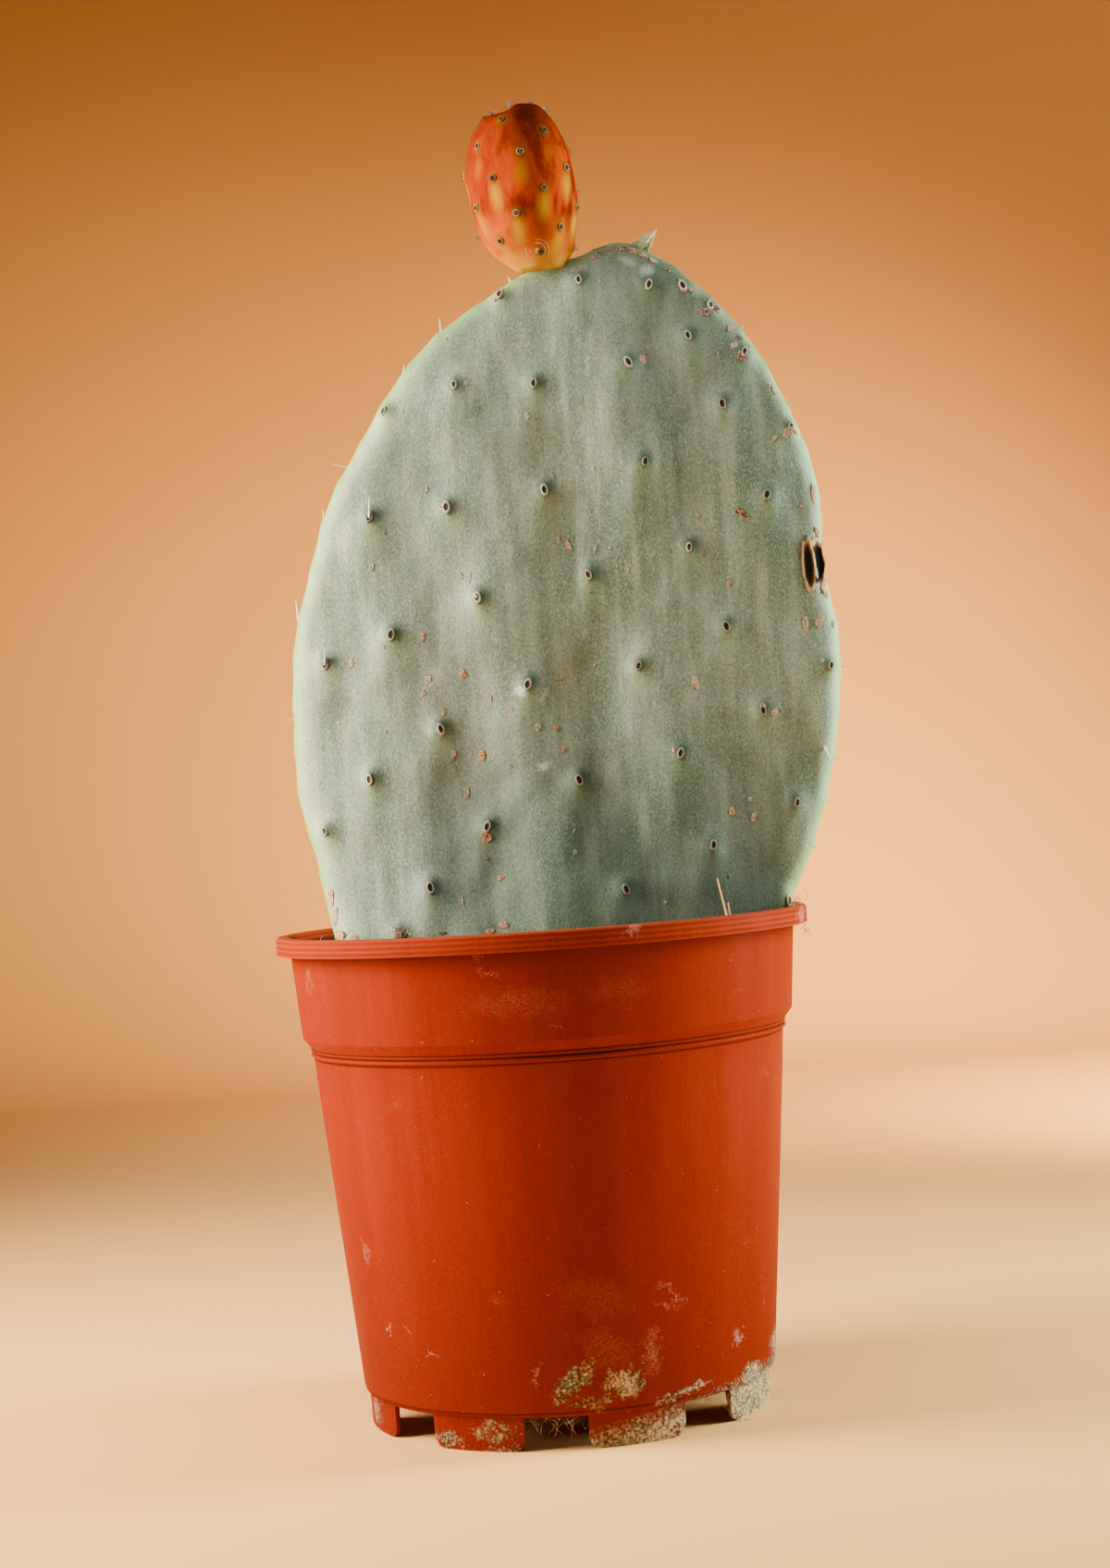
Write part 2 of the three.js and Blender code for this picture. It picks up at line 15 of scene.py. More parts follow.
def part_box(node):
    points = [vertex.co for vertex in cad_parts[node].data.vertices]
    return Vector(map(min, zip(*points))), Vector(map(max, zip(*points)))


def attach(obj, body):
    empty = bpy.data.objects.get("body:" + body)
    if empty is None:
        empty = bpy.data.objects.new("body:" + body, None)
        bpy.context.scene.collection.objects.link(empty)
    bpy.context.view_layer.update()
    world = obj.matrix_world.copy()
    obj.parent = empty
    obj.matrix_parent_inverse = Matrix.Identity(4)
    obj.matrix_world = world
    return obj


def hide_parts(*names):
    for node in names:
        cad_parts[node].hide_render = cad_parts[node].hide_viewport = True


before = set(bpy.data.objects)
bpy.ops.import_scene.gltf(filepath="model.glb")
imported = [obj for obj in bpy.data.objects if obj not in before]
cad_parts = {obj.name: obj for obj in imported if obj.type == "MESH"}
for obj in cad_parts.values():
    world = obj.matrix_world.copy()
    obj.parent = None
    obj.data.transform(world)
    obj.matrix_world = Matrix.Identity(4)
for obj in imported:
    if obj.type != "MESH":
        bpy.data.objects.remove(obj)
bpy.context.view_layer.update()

# ---- Pot -------------------------------------------------------------------------------------
# An injection-moulded grower's pot in terracotta-coloured polypropylene. The lip is turned down,
# the band under it steps in over two fine beads, and the wall tapers to a raised floor on eight
# panel feet. It is one moulding, so it is one closed mesh.
MM = 0.001
pot_low, pot_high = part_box("pot")
AXIS_X = (pot_low[0] + pot_high[0]) / 2
RIM_Z = pot_high[2]
POT_SIDES = 192
POT_HEIGHT = RIM_Z / MM
FLOOR_Z, FLOOR_THICKNESS, FLOOR_RISE = -170.5, 1.8, 2.5
OUTER_WALL = [
    (75.9, FLOOR_Z), (77.0, -169.6), (77.4, -168.2), (87.6, -56), (88.4, -45.4), (89.4, -44.8),
    (89.4, -44.0), (88.6, -43.4), (89.4, -42.7), (89.4, -41.6), (92.2, -38), (94.8, -6.5),
]
RIM = [
    (95.0, -1.7), (98.5, -1.7), (98.5, -6.5), (100, -6.5), (100, -0.8), (99.2, 0), (95.2, 0), (94.0, -1.2),
]
INNER_WALL = [
    (93.6, -6.5), (91, -38.4), (87.6, -42.2), (87.3, -44.6), (86.4, -56),
    (75.6, FLOOR_Z + FLOOR_THICKNESS),
]
DRAIN_RADIUS, DRAIN_CIRCLE = 6, 56
FOOT_COUNT, FOOT_TURN, FOOT_GAP, FOOT_CORNER = 8, 18.3, 22.5, 4.5
FOOT_RADIUS, FOOT_THICKNESS = 75.6, 2.2
BETWEEN_FEET = [FOOT_TURN + (i + 0.5) * 360 / FOOT_COUNT for i in range(FOOT_COUNT)]


def at(x, y, z):
    """A place given in millimetres from the middle of the pot's rim, in the frame's metres."""
    return Vector((AXIS_X + x * MM, y * MM, RIM_Z + z * MM))


def around(degrees, radius, z):
    """A place round the pot's axis: 0 degrees is towards the viewer, positive to the right."""
    turn = math.radians(degrees)
    return at(radius * math.sin(turn), -radius * math.cos(turn), z)


def deselect():
    """Leaves edit mode and lets go of every piece."""
    if bpy.context.object and bpy.context.object.mode != "OBJECT":
        bpy.ops.object.mode_set(mode="OBJECT")
    bpy.ops.object.select_all(action="DESELECT")


def pick(piece):
    """Makes a piece the only one selected and the active one."""
    deselect()
    piece.select_set(True)
    bpy.context.view_layer.objects.active = piece


def settle(piece, name):
    """Names a piece and puts its place into its mesh, so that its own origin is the frame's."""
    piece.name = name
    piece.data.name = name
    pick(piece)
    bpy.ops.object.transform_apply(location=True, rotation=True, scale=True)
    return piece


def draw_out(move, growth, centre):
    """Extrudes what is selected by a move and scales it about a centre."""
    bpy.ops.mesh.extrude_region_move(TRANSFORM_OT_translate={"value": move})
    bpy.ops.transform.resize(value=growth, center_override=centre)


def close_edit():
    """Ends an edit with every face turned outwards."""
    bpy.ops.mesh.select_all(action="SELECT")
    bpy.ops.mesh.normals_make_consistent(inside=False)
    bpy.ops.object.mode_set(mode="OBJECT")


def turned(name, profile, sides, closed=True):
    """A turned body: one circle is extruded and scaled from each point of the profile to the next."""
    deselect()
    radius, height = profile[0]
    bpy.ops.mesh.primitive_circle_add(vertices=sides, radius=radius * MM, location=at(0, 0, height))
    piece = bpy.context.object
    bpy.ops.object.mode_set(mode="EDIT")
    for (radius_before, height_before), (radius, height) in zip(profile, profile[1:]):
        growth = radius / radius_before
        draw_out((0, 0, (height - height_before) * MM), (growth, growth, 1), at(0, 0, height))
    bpy.ops.mesh.select_all(action="DESELECT")
    if closed:
        bpy.ops.mesh.select_non_manifold()
        bpy.ops.mesh.bridge_edge_loops()
    close_edit()
    return settle(piece, name)


def modify(piece, kind, **settings):
    """Adds a modifier with its settings and applies it at once."""
    pick(piece)
    modifier = piece.modifiers.new(kind.title(), kind)
    for name, value in settings.items():
        setattr(modifier, name, value)
    bpy.ops.object.modifier_apply(modifier=modifier.name)


def join(pieces, name):
    """Joins pieces into the first one, under a new name."""
    deselect()
    for piece in pieces:
        piece.select_set(True)
    bpy.context.view_layer.objects.active = pieces[0]
    bpy.ops.object.join()
    return settle(bpy.context.object, name)


def cut(piece, cutters):
    """Takes the cutters out of a piece and removes them."""
    cutter = join(cutters, "cutter")
    modify(piece, "BOOLEAN", operation="DIFFERENCE", object=cutter, solver="EXACT")
    bpy.data.objects.remove(cutter)


def sew(piece):
    """Merges the doubled corners that the cuts left, takes out slivers and closes pinholes."""
    mesh = bmesh.new()
    mesh.from_mesh(piece.data)
    bmesh.ops.remove_doubles(mesh, verts=mesh.verts, dist=0.05 * MM)
    bmesh.ops.dissolve_degenerate(mesh, edges=mesh.edges, dist=0.02 * MM)
    bmesh.ops.holes_fill(mesh, edges=[edge for edge in mesh.edges if edge.is_boundary], sides=8)
    bmesh.ops.recalc_face_normals(mesh, faces=mesh.faces)
    mesh.to_mesh(piece.data)
    mesh.free()


def slot_cutter(turn):
    """A gap between two feet, wider at the bottom, where the corners of both feet are rounded off."""
    half, corner = FOOT_GAP / 2, FOOT_CORNER
    turns = [math.radians(degrees) for degrees in range(0, 91, 15)]
    bend = [(half + corner - corner * math.cos(t), corner - corner * math.sin(t)) for t in turns]
    right = [(half, FLOOR_Z + POT_HEIGHT), *bend, (half + corner, -1)]
    outline = [(-across, up) for across, up in right] + right[::-1]
    deselect()
    bpy.ops.mesh.primitive_circle_add(vertices=len(outline), fill_type="NGON")
    cutter = bpy.context.object
    for vert, (across, up) in zip(cutter.data.vertices, outline):
        vert.co = (across * MM, -60 * MM, (up - POT_HEIGHT) * MM)
    bpy.ops.object.mode_set(mode="EDIT")
    bpy.ops.mesh.select_all(action="SELECT")
    bpy.ops.mesh.extrude_region_move(TRANSFORM_OT_translate={"value": (0, -30 * MM, 0)})
    close_edit()
    cutter.rotation_euler = (0, 0, math.radians(turn))
    cutter.location = at(0, 0, 0)
    return settle(cutter, "slot")


def foot_ring():
    """A skirt under the floor with a slot cut between each two feet."""
    ring = turned("feet", [
        (FOOT_RADIUS - FOOT_THICKNESS, -POT_HEIGHT), (FOOT_RADIUS - 0.4, -POT_HEIGHT),
        (FOOT_RADIUS, FLOOR_Z + 0.6), (FOOT_RADIUS - FOOT_THICKNESS, FLOOR_Z + 0.6)], POT_SIDES)
    cut(ring, [slot_cutter(degrees) for degrees in BETWEEN_FEET])
    return ring


def drain_cutters():
    """Pins for the drain holes between the feet and for the one in the middle."""
    places = [around(degrees, DRAIN_CIRCLE, FLOOR_Z) for degrees in BETWEEN_FEET]
    for place in places + [at(0, 0, FLOOR_Z)]:
        deselect()
        bpy.ops.mesh.primitive_cylinder_add(vertices=32, radius=DRAIN_RADIUS * MM, depth=16 * MM,
                                            location=place)
        yield settle(bpy.context.object, "drain")


def shade(piece, degrees=40):
    """Shades smooth where two faces meet at less than the angle."""
    pick(piece)
    bpy.ops.object.shade_smooth_by_angle(angle=math.radians(degrees))


pot = turned("moulded_pot", [
    (2, FLOOR_Z + FLOOR_RISE), *OUTER_WALL, *RIM, *INNER_WALL,
    (2, FLOOR_Z + FLOOR_THICKNESS + FLOOR_RISE)], POT_SIDES)
feet = foot_ring()
modify(pot, "BOOLEAN", operation="UNION", object=feet, solver="EXACT")
bpy.data.objects.remove(feet)
cut(pot, list(drain_cutters()))
sew(pot)
modify(pot, "BEVEL", width=0.2 * MM, segments=2, limit_method="ANGLE", angle_limit=math.radians(32),
       use_clamp_overlap=False)
shade(pot)


def linear(code):
    """An sRGB hex colour as the linear RGBA that shaders take."""
    values = [int(code[i:i + 2], 16) / 255 for i in (1, 3, 5)]
    return (*[v / 12.92 if v <= 0.04045 else ((v + 0.055) / 1.055) ** 2.4 for v in values], 1.0)


def add(tree, kind, inputs=None, **settings):
    """Adds one shader node: settings are its properties, inputs are values or links by socket."""
    made = tree.nodes.new("ShaderNode" + kind)
    for name, value in settings.items():
        setattr(made, name, value)
    for key, value in (inputs or {}).items():
        if isinstance(value, bpy.types.NodeSocket):
            tree.links.new(value, made.inputs[key])
        else:
            made.inputs[key].default_value = value
    return made.outputs[2] if kind == "Mix" and made.data_type == "RGBA" else made.outputs[0]


def new_material(name, roughness=0.5, ior=1.5, **sockets):
    """A material with what is the same all over set on its shader, its tree, and the place on the
    piece in its own coordinates."""
    material = bpy.data.materials.new(name)
    material.use_nodes = True
    shader = material.node_tree.nodes["Principled BSDF"]
    shader.inputs["Roughness"].default_value = roughness
    shader.inputs["IOR"].default_value = ior
    for key, value in sockets.items():
        shader.inputs[key.replace("_", " ")].default_value = value
    tree = material.node_tree
    return material, tree, add(tree, "TexCoord").node.outputs["Object"]


def calc(first, sign, second):
    """One step of arithmetic on a link and a value or another link."""
    kind = {"*": "MULTIPLY", "+": "ADD", "-": "SUBTRACT", "<": "LESS_THAN", ">": "GREATER_THAN",
            "max": "MAXIMUM", "min": "MINIMUM"}[sign]
    return add(first.id_data, "Math", {0: first, 1: second}, operation=kind)


def between(value, low, high):
    """0 where a value is at low and 1 where it is at high."""
    return add(value.id_data, "MapRange", {"Value": value, "From Min": low, "From Max": high})


def blend(share, first, second, strength=1):
    """Lays the second colour over the first, each given as hex or as a link, by a share."""
    pair = [linear(colour) if isinstance(colour, str) else colour for colour in (first, second)]
    share = share if strength == 1 else calc(share, "*", strength)
    return add(share.id_data, "Mix", {0: share, 6: pair[0], 7: pair[1]}, data_type="RGBA")


def grains(place, size_mm, detail, roughness=0.5):
    """A noise whose largest grains are about that size."""
    return add(place.id_data, "TexNoise", {"Vector": place, "Scale": 1 / (size_mm * MM), "Detail": detail,
                                           "Roughness": roughness})


def stretched(place, upwards):
    """A place in which patterns come out drawn along the height."""
    return add(place.id_data, "Mapping", {"Vector": place, "Scale": (1, 1, upwards)})


def shaken(place, by, reach):
    """A place shifted by a noise's colours, which gives what is looked up there a ragged outline."""
    tree = place.id_data
    shift = add(tree, "VectorMath", {0: by.node.outputs["Color"], 1: (0.5, 0.5, 0.5)}, operation="SUBTRACT")
    shift = add(tree, "VectorMath", {0: shift, 1: (reach, reach, reach)}, operation="MULTIPLY")
    return add(tree, "VectorMath", {0: place, 1: shift}, operation="ADD")


def distance(place, point):
    """How far a place lies from a point, in metres."""
    vectors = {0: place, 1: point}
    return add(place.id_data, "VectorMath", vectors, operation="DISTANCE").node.outputs["Value"]


def noted(tree, name, output="Fac"):
    """What the mesh notes at each of its points under a name."""
    return add(tree, "Attribute", attribute_name=name).node.outputs[output]


def parts_of(kind, whole):
    """The parts of a place ("XYZ") or of a colour ("Color")."""
    return list(add(whole.id_data, "Separate" + kind, {0: whole}).node.outputs)


def finished(material, colour, height, depth_mm, roughness=None):
    """Links a colour, a bump of that depth in millimetres and a roughness to the shader."""
    tree = material.node_tree
    links = {"Base Color": colour, "Roughness": roughness,
             "Normal": add(tree, "Bump", {"Height": height, "Distance": depth_mm * MM, "Strength": 1.0})}
    for name, link in links.items():
        if link is not None:
            tree.links.new(link, tree.nodes["Principled BSDF"].inputs[name])
    return material


def wear(piece, material, node, smooth=None):
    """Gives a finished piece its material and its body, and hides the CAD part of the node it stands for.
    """
    piece.data.materials.clear()
    piece.data.materials.append(material)
    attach(piece, "root")
    if node:
        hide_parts(node)
    if smooth:
        shade(piece, smooth)


# Scuffs and splashes of lime where they lie on the pot: x, y and height, how wide and how tall each
# is, how far it leans in degrees, and how strong it is.
SCUFFS = [
    (31.5, -95, -1.7, 4, 2, 0, 0.9), (96, -28, -3, 7, 3, 0, 0.7), (-18, -92.4, -13.5, 1, 5.5, -60, 0.5),
    (-85.2, -40, -15, 1, 6, 0, 0.4), (3, -92.4, -34.4, 4.5, 1, 25, 0.35),
    (38, -71, -130.5, 1.1, 8, -55, 0.55), (36, -72, -134, 1, 6, -80, 0.4),
    (-11.6, -77.6, -156, 1.2, 5.5, -8, 0.55), (29, -73.5, -150, 4, 10, 5, 0.4),
    (11, -80, -129, 17, 9, 20, 0.14), (14, -78, -147, 12, 8, 30, 0.2), (-8, -95, -24, 22, 7, 0, 0.18),
    (26, -92, -22, 15, 6, 0, 0.15), (61, -50, -152, 1.8, 5, 0, 0.75),
    (-47, -63.5, -149.3, 4.2, 0.7, 0, 0.7), (-62.8, -49.4, -140.9, 1.1, 1.5, 0, 1),
    (-57, -56, -140.4, 1.6, 0.9, 30, 0.6), (-70.5, -42.7, -113.5, 1.2, 5, 0, 0.4),
    (-22, -95, -7, 0.7, 3, 0, 0.5),
]
LIME = [
    (2, -78, -157.5, 14, 5, -38, 0.9), (19, -75.5, -160, 11, 8, 0, 1), (41, -66.5, -166.5, 20, 2, -12, 0.8),
    (66, -42, -167.5, 10, 6, -10, 1), (76.5, -17, -161, 6, 8, 0, 0.8), (7, -76.5, -166, 14, 3, 0, 0.6),
    (-28, -70, -176, 13, 7, 0, 0.6), (-44, -61.5, -179, 9, 5, 0, 0.7), (-72, -23, -176, 6, 8, 0, 0.7),
]


def patches_at(place, marks):
    """The strongest of a set of soft patches, each lying at its own place on the piece."""
    tree, total = place.id_data, None
    for x, y, z, wide, tall, lean, strength in marks:
        local = add(tree, "Mapping", {
            "Vector": place, "Location": at(x, y, z), "Rotation": (0, math.radians(lean), 0),
            "Scale": (wide * MM, max(wide, 12) * MM, tall * MM)}, vector_type="TEXTURE")
        ball = add(tree, "TexGradient", {"Vector": local}, gradient_type="SPHERICAL")
        ball = add(tree, "MapRange", {"Value": ball, "From Min": 0.0, "From Max": 0.6, "To Max": strength})
        total = ball if total is None else calc(total, "max", ball)
    return total


def moulded_polypropylene():
    """Terracotta polypropylene from a steel mould: satin, with fine draw lines down the wall,
    turned lines round the lip, white scuffs, and lime and algae where water stood at the foot."""
    material, tree, place = new_material("moulded polypropylene", 0.5, 1.4, Specular_IOR_Level=0.008)
    side, _, height = parts_of("XYZ", place)
    # draw lines: narrow across, long down the wall
    pulled = stretched(place, 0.03)
    lines = grains(pulled, 1.1, 4, 0.7)
    body = blend(between(grains(pulled, 9, 3), 0.35, 0.7), "#781E06", "#80230A")
    body = blend(between(lines, 0.55, 0.8), body, "#882810")
    # the wall is painted darker towards its foot
    body = blend(between(height, 110 * MM, 25 * MM), body, "#5E1604", 0.65)
    # turned lines round the lip, 1 mm apart
    turns = add(tree, "TexWave", {"Vector": place, "Scale": 1 / (6.2 * MM), "Distortion": 0.6, "Detail": 2,
                                  "Detail Scale": 2}, wave_type="BANDS", bands_direction="Z")
    on_lip = between(height, RIM_Z - 6.6 * MM, RIM_Z - 6.4 * MM)
    # chalky scuffs: ragged patches rubbed along the pot
    rubbed = add(tree, "Mapping", {"Vector": place, "Scale": (1, 1, 2.2), "Rotation": (0.3, 0.2, 0)})
    patch = grains(rubbed, 26, 9, 0.78)
    fine = grains(rubbed, 0.9, 3, 0.8)
    body = blend(between(grains(place, 0.6, 3, 0.8), 0.5, 0.75), body, "#D98C6C", 0.09)
    # painted shadow and grime under the lip: the dark band stands partly for the lip's shadow, partly for
    # real grime
    lip_shadow_and_grime = calc(between(height, RIM_Z - 13 * MM, RIM_Z - 6.5 * MM), "*",
                     calc(height, "<", RIM_Z - 6.6 * MM))
    body = blend(lip_shadow_and_grime, body, "#5A1C0C", 0.45)
    # the lip is handled most and is rubbed paler; the grooves of the beads are painted dark
    body = blend(calc(on_lip, "*", between(turns, 0.2, 1.6)), body, "#973E24")
    for groove in (-168.9, -45.7, -43.4, -41.9):
        low = between(height, RIM_Z + (groove - 0.55) * MM, RIM_Z + (groove - 0.1) * MM)
        high = between(height, RIM_Z + (groove + 0.55) * MM, RIM_Z + (groove + 0.1) * MM)
        body = blend(calc(low, "min", high), body, "#2E1109", 0.7)
    shifted = shaken(place, grains(place, 5, 5, 0.7), 0.016)
    rubs = calc(calc(between(patch, 0.62, 0.82), "*", 0.42), "max", patches_at(shifted, SCUFFS))
    scuff = calc(rubs, "*", between(fine, 0.44, 0.62))
    body = blend(scuff, body, "#D8A69A", 0.75)
    # single pale specks of lime, 0.3 to 0.8 mm, more of them low down
    cells = add(tree, "TexVoronoi", {"Vector": shifted, "Scale": 1 / (5.5 * MM)})
    chance = parts_of("Color", cells.node.outputs["Color"])[0]
    kept = calc(chance, "<", calc(calc(between(height, 0.075, 0.0), "*", 0.45), "+", 0.18))
    specks = calc(between(cells, 0.06, 0.03), "*", kept)
    body = blend(specks, body, "#E2CDB4")
    # crust of lime and algae: where it splashed, and all over the feet towards the right
    level = calc(height, "-", calc(between(side, -0.045, 0.06), "*", 0.017))
    crumbs = grains(place, 1.1, 5, 0.75)
    clumps = grains(place, 9, 4, 0.6)
    splashed = calc(between(level, 0.004, -0.006), "max", patches_at(shifted, LIME))
    ragged = calc(splashed, "*", calc(clumps, "+", 0.28))
    crumbled = calc(crumbs, "+", calc(ragged, "*", 0.18))
    crust = calc(between(ragged, 0.2, 0.7), "*", between(crumbled, 0.52, 0.6))
    tint = blend(between(clumps, 0.42, 0.6), "#A99576", "#5E6147")
    tint = blend(between(crumbs, 0.54, 0.62), tint, "#CDBD9F")
    body = blend(crust, body, tint)
    # the inner wall above the mix is painted dark brown: partly a stain of wet peat, partly painted shade
    # inside the pot under the pad
    level_place = add(tree, "VectorMath", {0: place, 1: (1, 1, 0)}, operation="MULTIPLY")
    peat_stain_and_inner_shade = calc(between(height, RIM_Z - 1.6 * MM, RIM_Z - 3.5 * MM), "*",
               calc(height, ">", RIM_Z - 11.5 * MM))
    inside = between(distance(level_place, (AXIS_X, 0, 0)), 0.0943, 0.0939)
    body = blend(calc(peat_stain_and_inner_shade, "*", inside), body, "#3D2013")
    rough = calc(calc(calc(calc(scuff, "max", crust), "*", 0.4), "+", calc(lines, "*", 0.22)), "+", 0.34)
    relief = calc(calc(turns, "*", calc(on_lip, "*", 0.5)), "+", calc(crust, "*", 3.5))
    relief = calc(calc(relief, "+", calc(lines, "*", 0.35)), "+", specks)
    return finished(material, body, relief, 0.09, rough)


wear(pot, moulded_polypropylene(), "pot")

# ---- Soil ------------------------------------------------------------------------------------
# The cactus mix: dry peat and fine bark filling the pot to 12 mm under the rim, heaped a little
# against the pad, with loose bark chips, pumice and grit lying in its surface.
SOIL_LEVEL, SOIL_MOUND, SOIL_GAP = -12, 3.5, 0.4
SOIL_SIDES = 160
SOIL_EDGE, STREWN_RADIUS, STREWN_LIMIT = 92.7, 91, 91.5
BARK_COUNT, PUMICE_COUNT, GRIT_COUNT = 520, 110, 900


def soil_height(x, y):
    """Height of the soil's surface in millimetres, as lumpy as the mix."""
    heap = math.exp(-((y / 26) ** 2)) * math.exp(-(((x - 8) / 95) ** 4))
    lumps = math.sin(x / 9 + 2) * math.cos(y / 7.5) + 0.7 * math.sin(x / 5.3 - y / 6.1)
    crumbs = noise.fractal(Vector((x, y, 3)) / 6, 1.0, 2.0, 4)
    return SOIL_LEVEL + SOIL_MOUND * heap + 0.9 * lumps + 0.9 * crumbs


def soil_bed():
    sides = [(radius - SOIL_GAP, z) for radius, z in reversed(INNER_WALL[1:])]
    top = [(SOIL_EDGE * share, SOIL_LEVEL) for share in np.linspace(1, 0.012, 56)]
    bottom = FLOOR_Z + FLOOR_THICKNESS + FLOOR_RISE + SOIL_GAP
    bed = turned("soil_bed", [(2, bottom), *sides, (SOIL_EDGE, SOIL_LEVEL - 4), *top], SOIL_SIDES, False)
    bpy.ops.object.mode_set(mode="EDIT")
    bpy.ops.mesh.select_all(action="DESELECT")
    bpy.ops.mesh.select_non_manifold()
    bpy.ops.mesh.edge_face_add()
    close_edit()
    for vert in bed.data.vertices:
        if vert.co.z > RIM_Z + (SOIL_LEVEL - 0.5) * MM:
            x, y = (vert.co.x - AXIS_X) / MM, vert.co.y / MM
            vert.co.z = RIM_Z + soil_height(x, y) * MM
    return bed


def template(kind, **settings):
    """A small primitive to copy from, as plain arrays of corners and faces."""
    deselect()
    getattr(bpy.ops.mesh, f"primitive_{kind}_add")(**settings)
    piece = bpy.context.object
    corners = np.array([vert.co + piece.location for vert in piece.data.vertices])
    faces = [tuple(face.vertices) for face in piece.data.polygons]
    bpy.data.objects.remove(piece)
    return corners, faces


def toned(name, corners, faces, tones):
    """A mesh from arrays, with a tone from 0 to 1 at each corner for its colour."""
    mesh = bpy.data.meshes.new(name)
    mesh.from_pydata(np.array(corners).tolist(), [], faces)
    mesh.attributes.new("tone", "FLOAT", "POINT").data.foreach_set("value", tones)
    piece = bpy.data.objects.new(name, mesh)
    bpy.context.collection.objects.link(piece)
    return piece


def copies(name, shape, places, roughen=0.0, seed=1):
    """One mesh of many copies of a shape. A place is a matrix and a tone from 0 to 1 for its colour."""
    corners, faces = shape
    draw = np.random.default_rng(seed)
    all_corners, all_faces, tones = [], [], []
    for i, (matrix, tone) in enumerate(places):
        local = corners * (1 + roughen * (draw.random((len(corners), 1)) - 0.5))
        turn = np.array(matrix)
        all_corners.append(local @ turn[:3, :3].T + turn[:3, 3])
        all_faces += [tuple(index + i * len(corners) for index in face) for face in faces]
        tones += [tone] * len(corners)
    return toned(name, np.concatenate(all_corners), all_faces, tones)


def facing(direction, turn=0.0):
    """Rotation that points a shape's own Z along a direction, after a turn about it."""
    return Vector(direction).to_track_quat("Z", "Y").to_matrix().to_4x4() @ Matrix.Rotation(turn, 4, "Z")


def standing(spot, direction, sizes, turn=0.0):
    """The matrix that stands a shape on a spot, pointing along a direction, scaled by three sizes."""
    return Matrix.Translation(spot) @ facing(direction, turn) @ Matrix.Diagonal((*sizes, 1))


def scattered(count, sizes, flatness, seed, keep_off=13.0):
    """Places strewn over the soil outside the pad's foot: big and small lumps, half sunk."""
    draw = random.Random(seed)
    places = []
    while len(places) < count:
        turn, radius = draw.random() * 2 * math.pi, STREWN_RADIUS * math.sqrt(draw.random())
        x, y = radius * math.sin(turn), -radius * math.cos(turn)
        if abs(y) < keep_off and -78 < x < 92:
            continue
        size = sizes[0] + (sizes[1] - sizes[0]) * draw.random() ** 2.2
        reach = min(radius + size, STREWN_LIMIT) / (radius + size)
        spot = at(x * reach, y * reach, soil_height(x * reach, y * reach) + 0.15 * size)
        tilt = Vector((draw.uniform(-0.5, 0.5), draw.uniform(-0.5, 0.5), 1))
        scale = Vector((size, size * draw.uniform(0.45, 0.9), size * flatness)) * MM
        places.append((standing(spot, tilt, scale, draw.random() * 6.28), draw.random()))
    return places


def dry_mix():
    """Dry peat and bark fines: matt, dark brown, crumbly at 1 to 3 mm."""
    material, tree, place = new_material("dry peat and bark mix", 0.95)
    crumbs = grains(place, 2.2, 8, 0.75)
    fibres = add(tree, "TexVoronoi", {"Vector": place, "Scale": 1 / (1.6 * MM)})
    colour = blend(between(crumbs, 0.35, 0.68), "#23160F", "#5B4330")
    colour = blend(between(fibres, 0.3, 0.12), colour, "#7C644A")
    return finished(material, colour, calc(crumbs, "+", fibres), 1.2)


def by_tone(name, dark, pale, grain_mm, roughness, depth_mm=0.25):
    """A matt mineral or dry plant material: each copy has its own tone, with a grain over it."""
    material, tree, place = new_material(name, roughness)
    grain = grains(place, grain_mm, 6, 0.7)
    mixed = calc(noted(tree, "tone"), "+", calc(grain, "-", 0.5))
    return finished(material, blend(mixed, dark, pale), grain, depth_mm)


soil = soil_bed()
wear(soil, dry_mix(), "soil", 60)
lump = template("ico_sphere", subdivisions=1, radius=1)
bark = copies("bark_chips", lump, scattered(BARK_COUNT, (0.9, 5.5), 0.32, 3), 0.5, 3)
wear(bark, by_tone("composted pine bark", "#2A1A10", "#7A5335", 0.8, 0.9), None)
pumice = copies("pumice", lump, scattered(PUMICE_COUNT, (1.0, 3.4), 0.75, 4), 0.35, 4)
wear(pumice, by_tone("pumice grit", "#8D8577", "#D8D0C2", 0.5, 0.95), None)
grit = copies("grit", lump, scattered(GRIT_COUNT, (0.5, 1.6), 0.7, 6), 0.5, 6)
wear(grit, by_tone("quartz grit and peat crumbs", "#3A2A1E", "#A48B6C", 0.4, 0.85), None)

# Fine roots and hairs: where each tangle is, how many strands, how long, and how far it spreads.
ROOT_TANGLES = [
    ((-6, -72, -172.5), 34, 9, (12, 2, 1.5)), ((46, -60, -170.5), 14, 7, (10, 4, 1)),
    ((61, -47, -184), 4, 7, (2, 2, 1)), ((-19, -71, -184), 3, 5, (1.5, 1.5, 1)),
    ((95, -24, 2.5), 26, 7, (3, 2.5, 1.6)), ((97.5, -22, -8.5), 12, 5, (2, 2, 1)),
    ((-53, -14.5, -1), 16, 7, (4, 1, 1)), ((-20, -15, 0), 3, 15, (2.5, 1, 1)),
    ((22, -14.5, -1.5), 6, 5, (2, 1, 1)), ((-84, -12, -6), 8, 10, (4, 3, 1)),
]


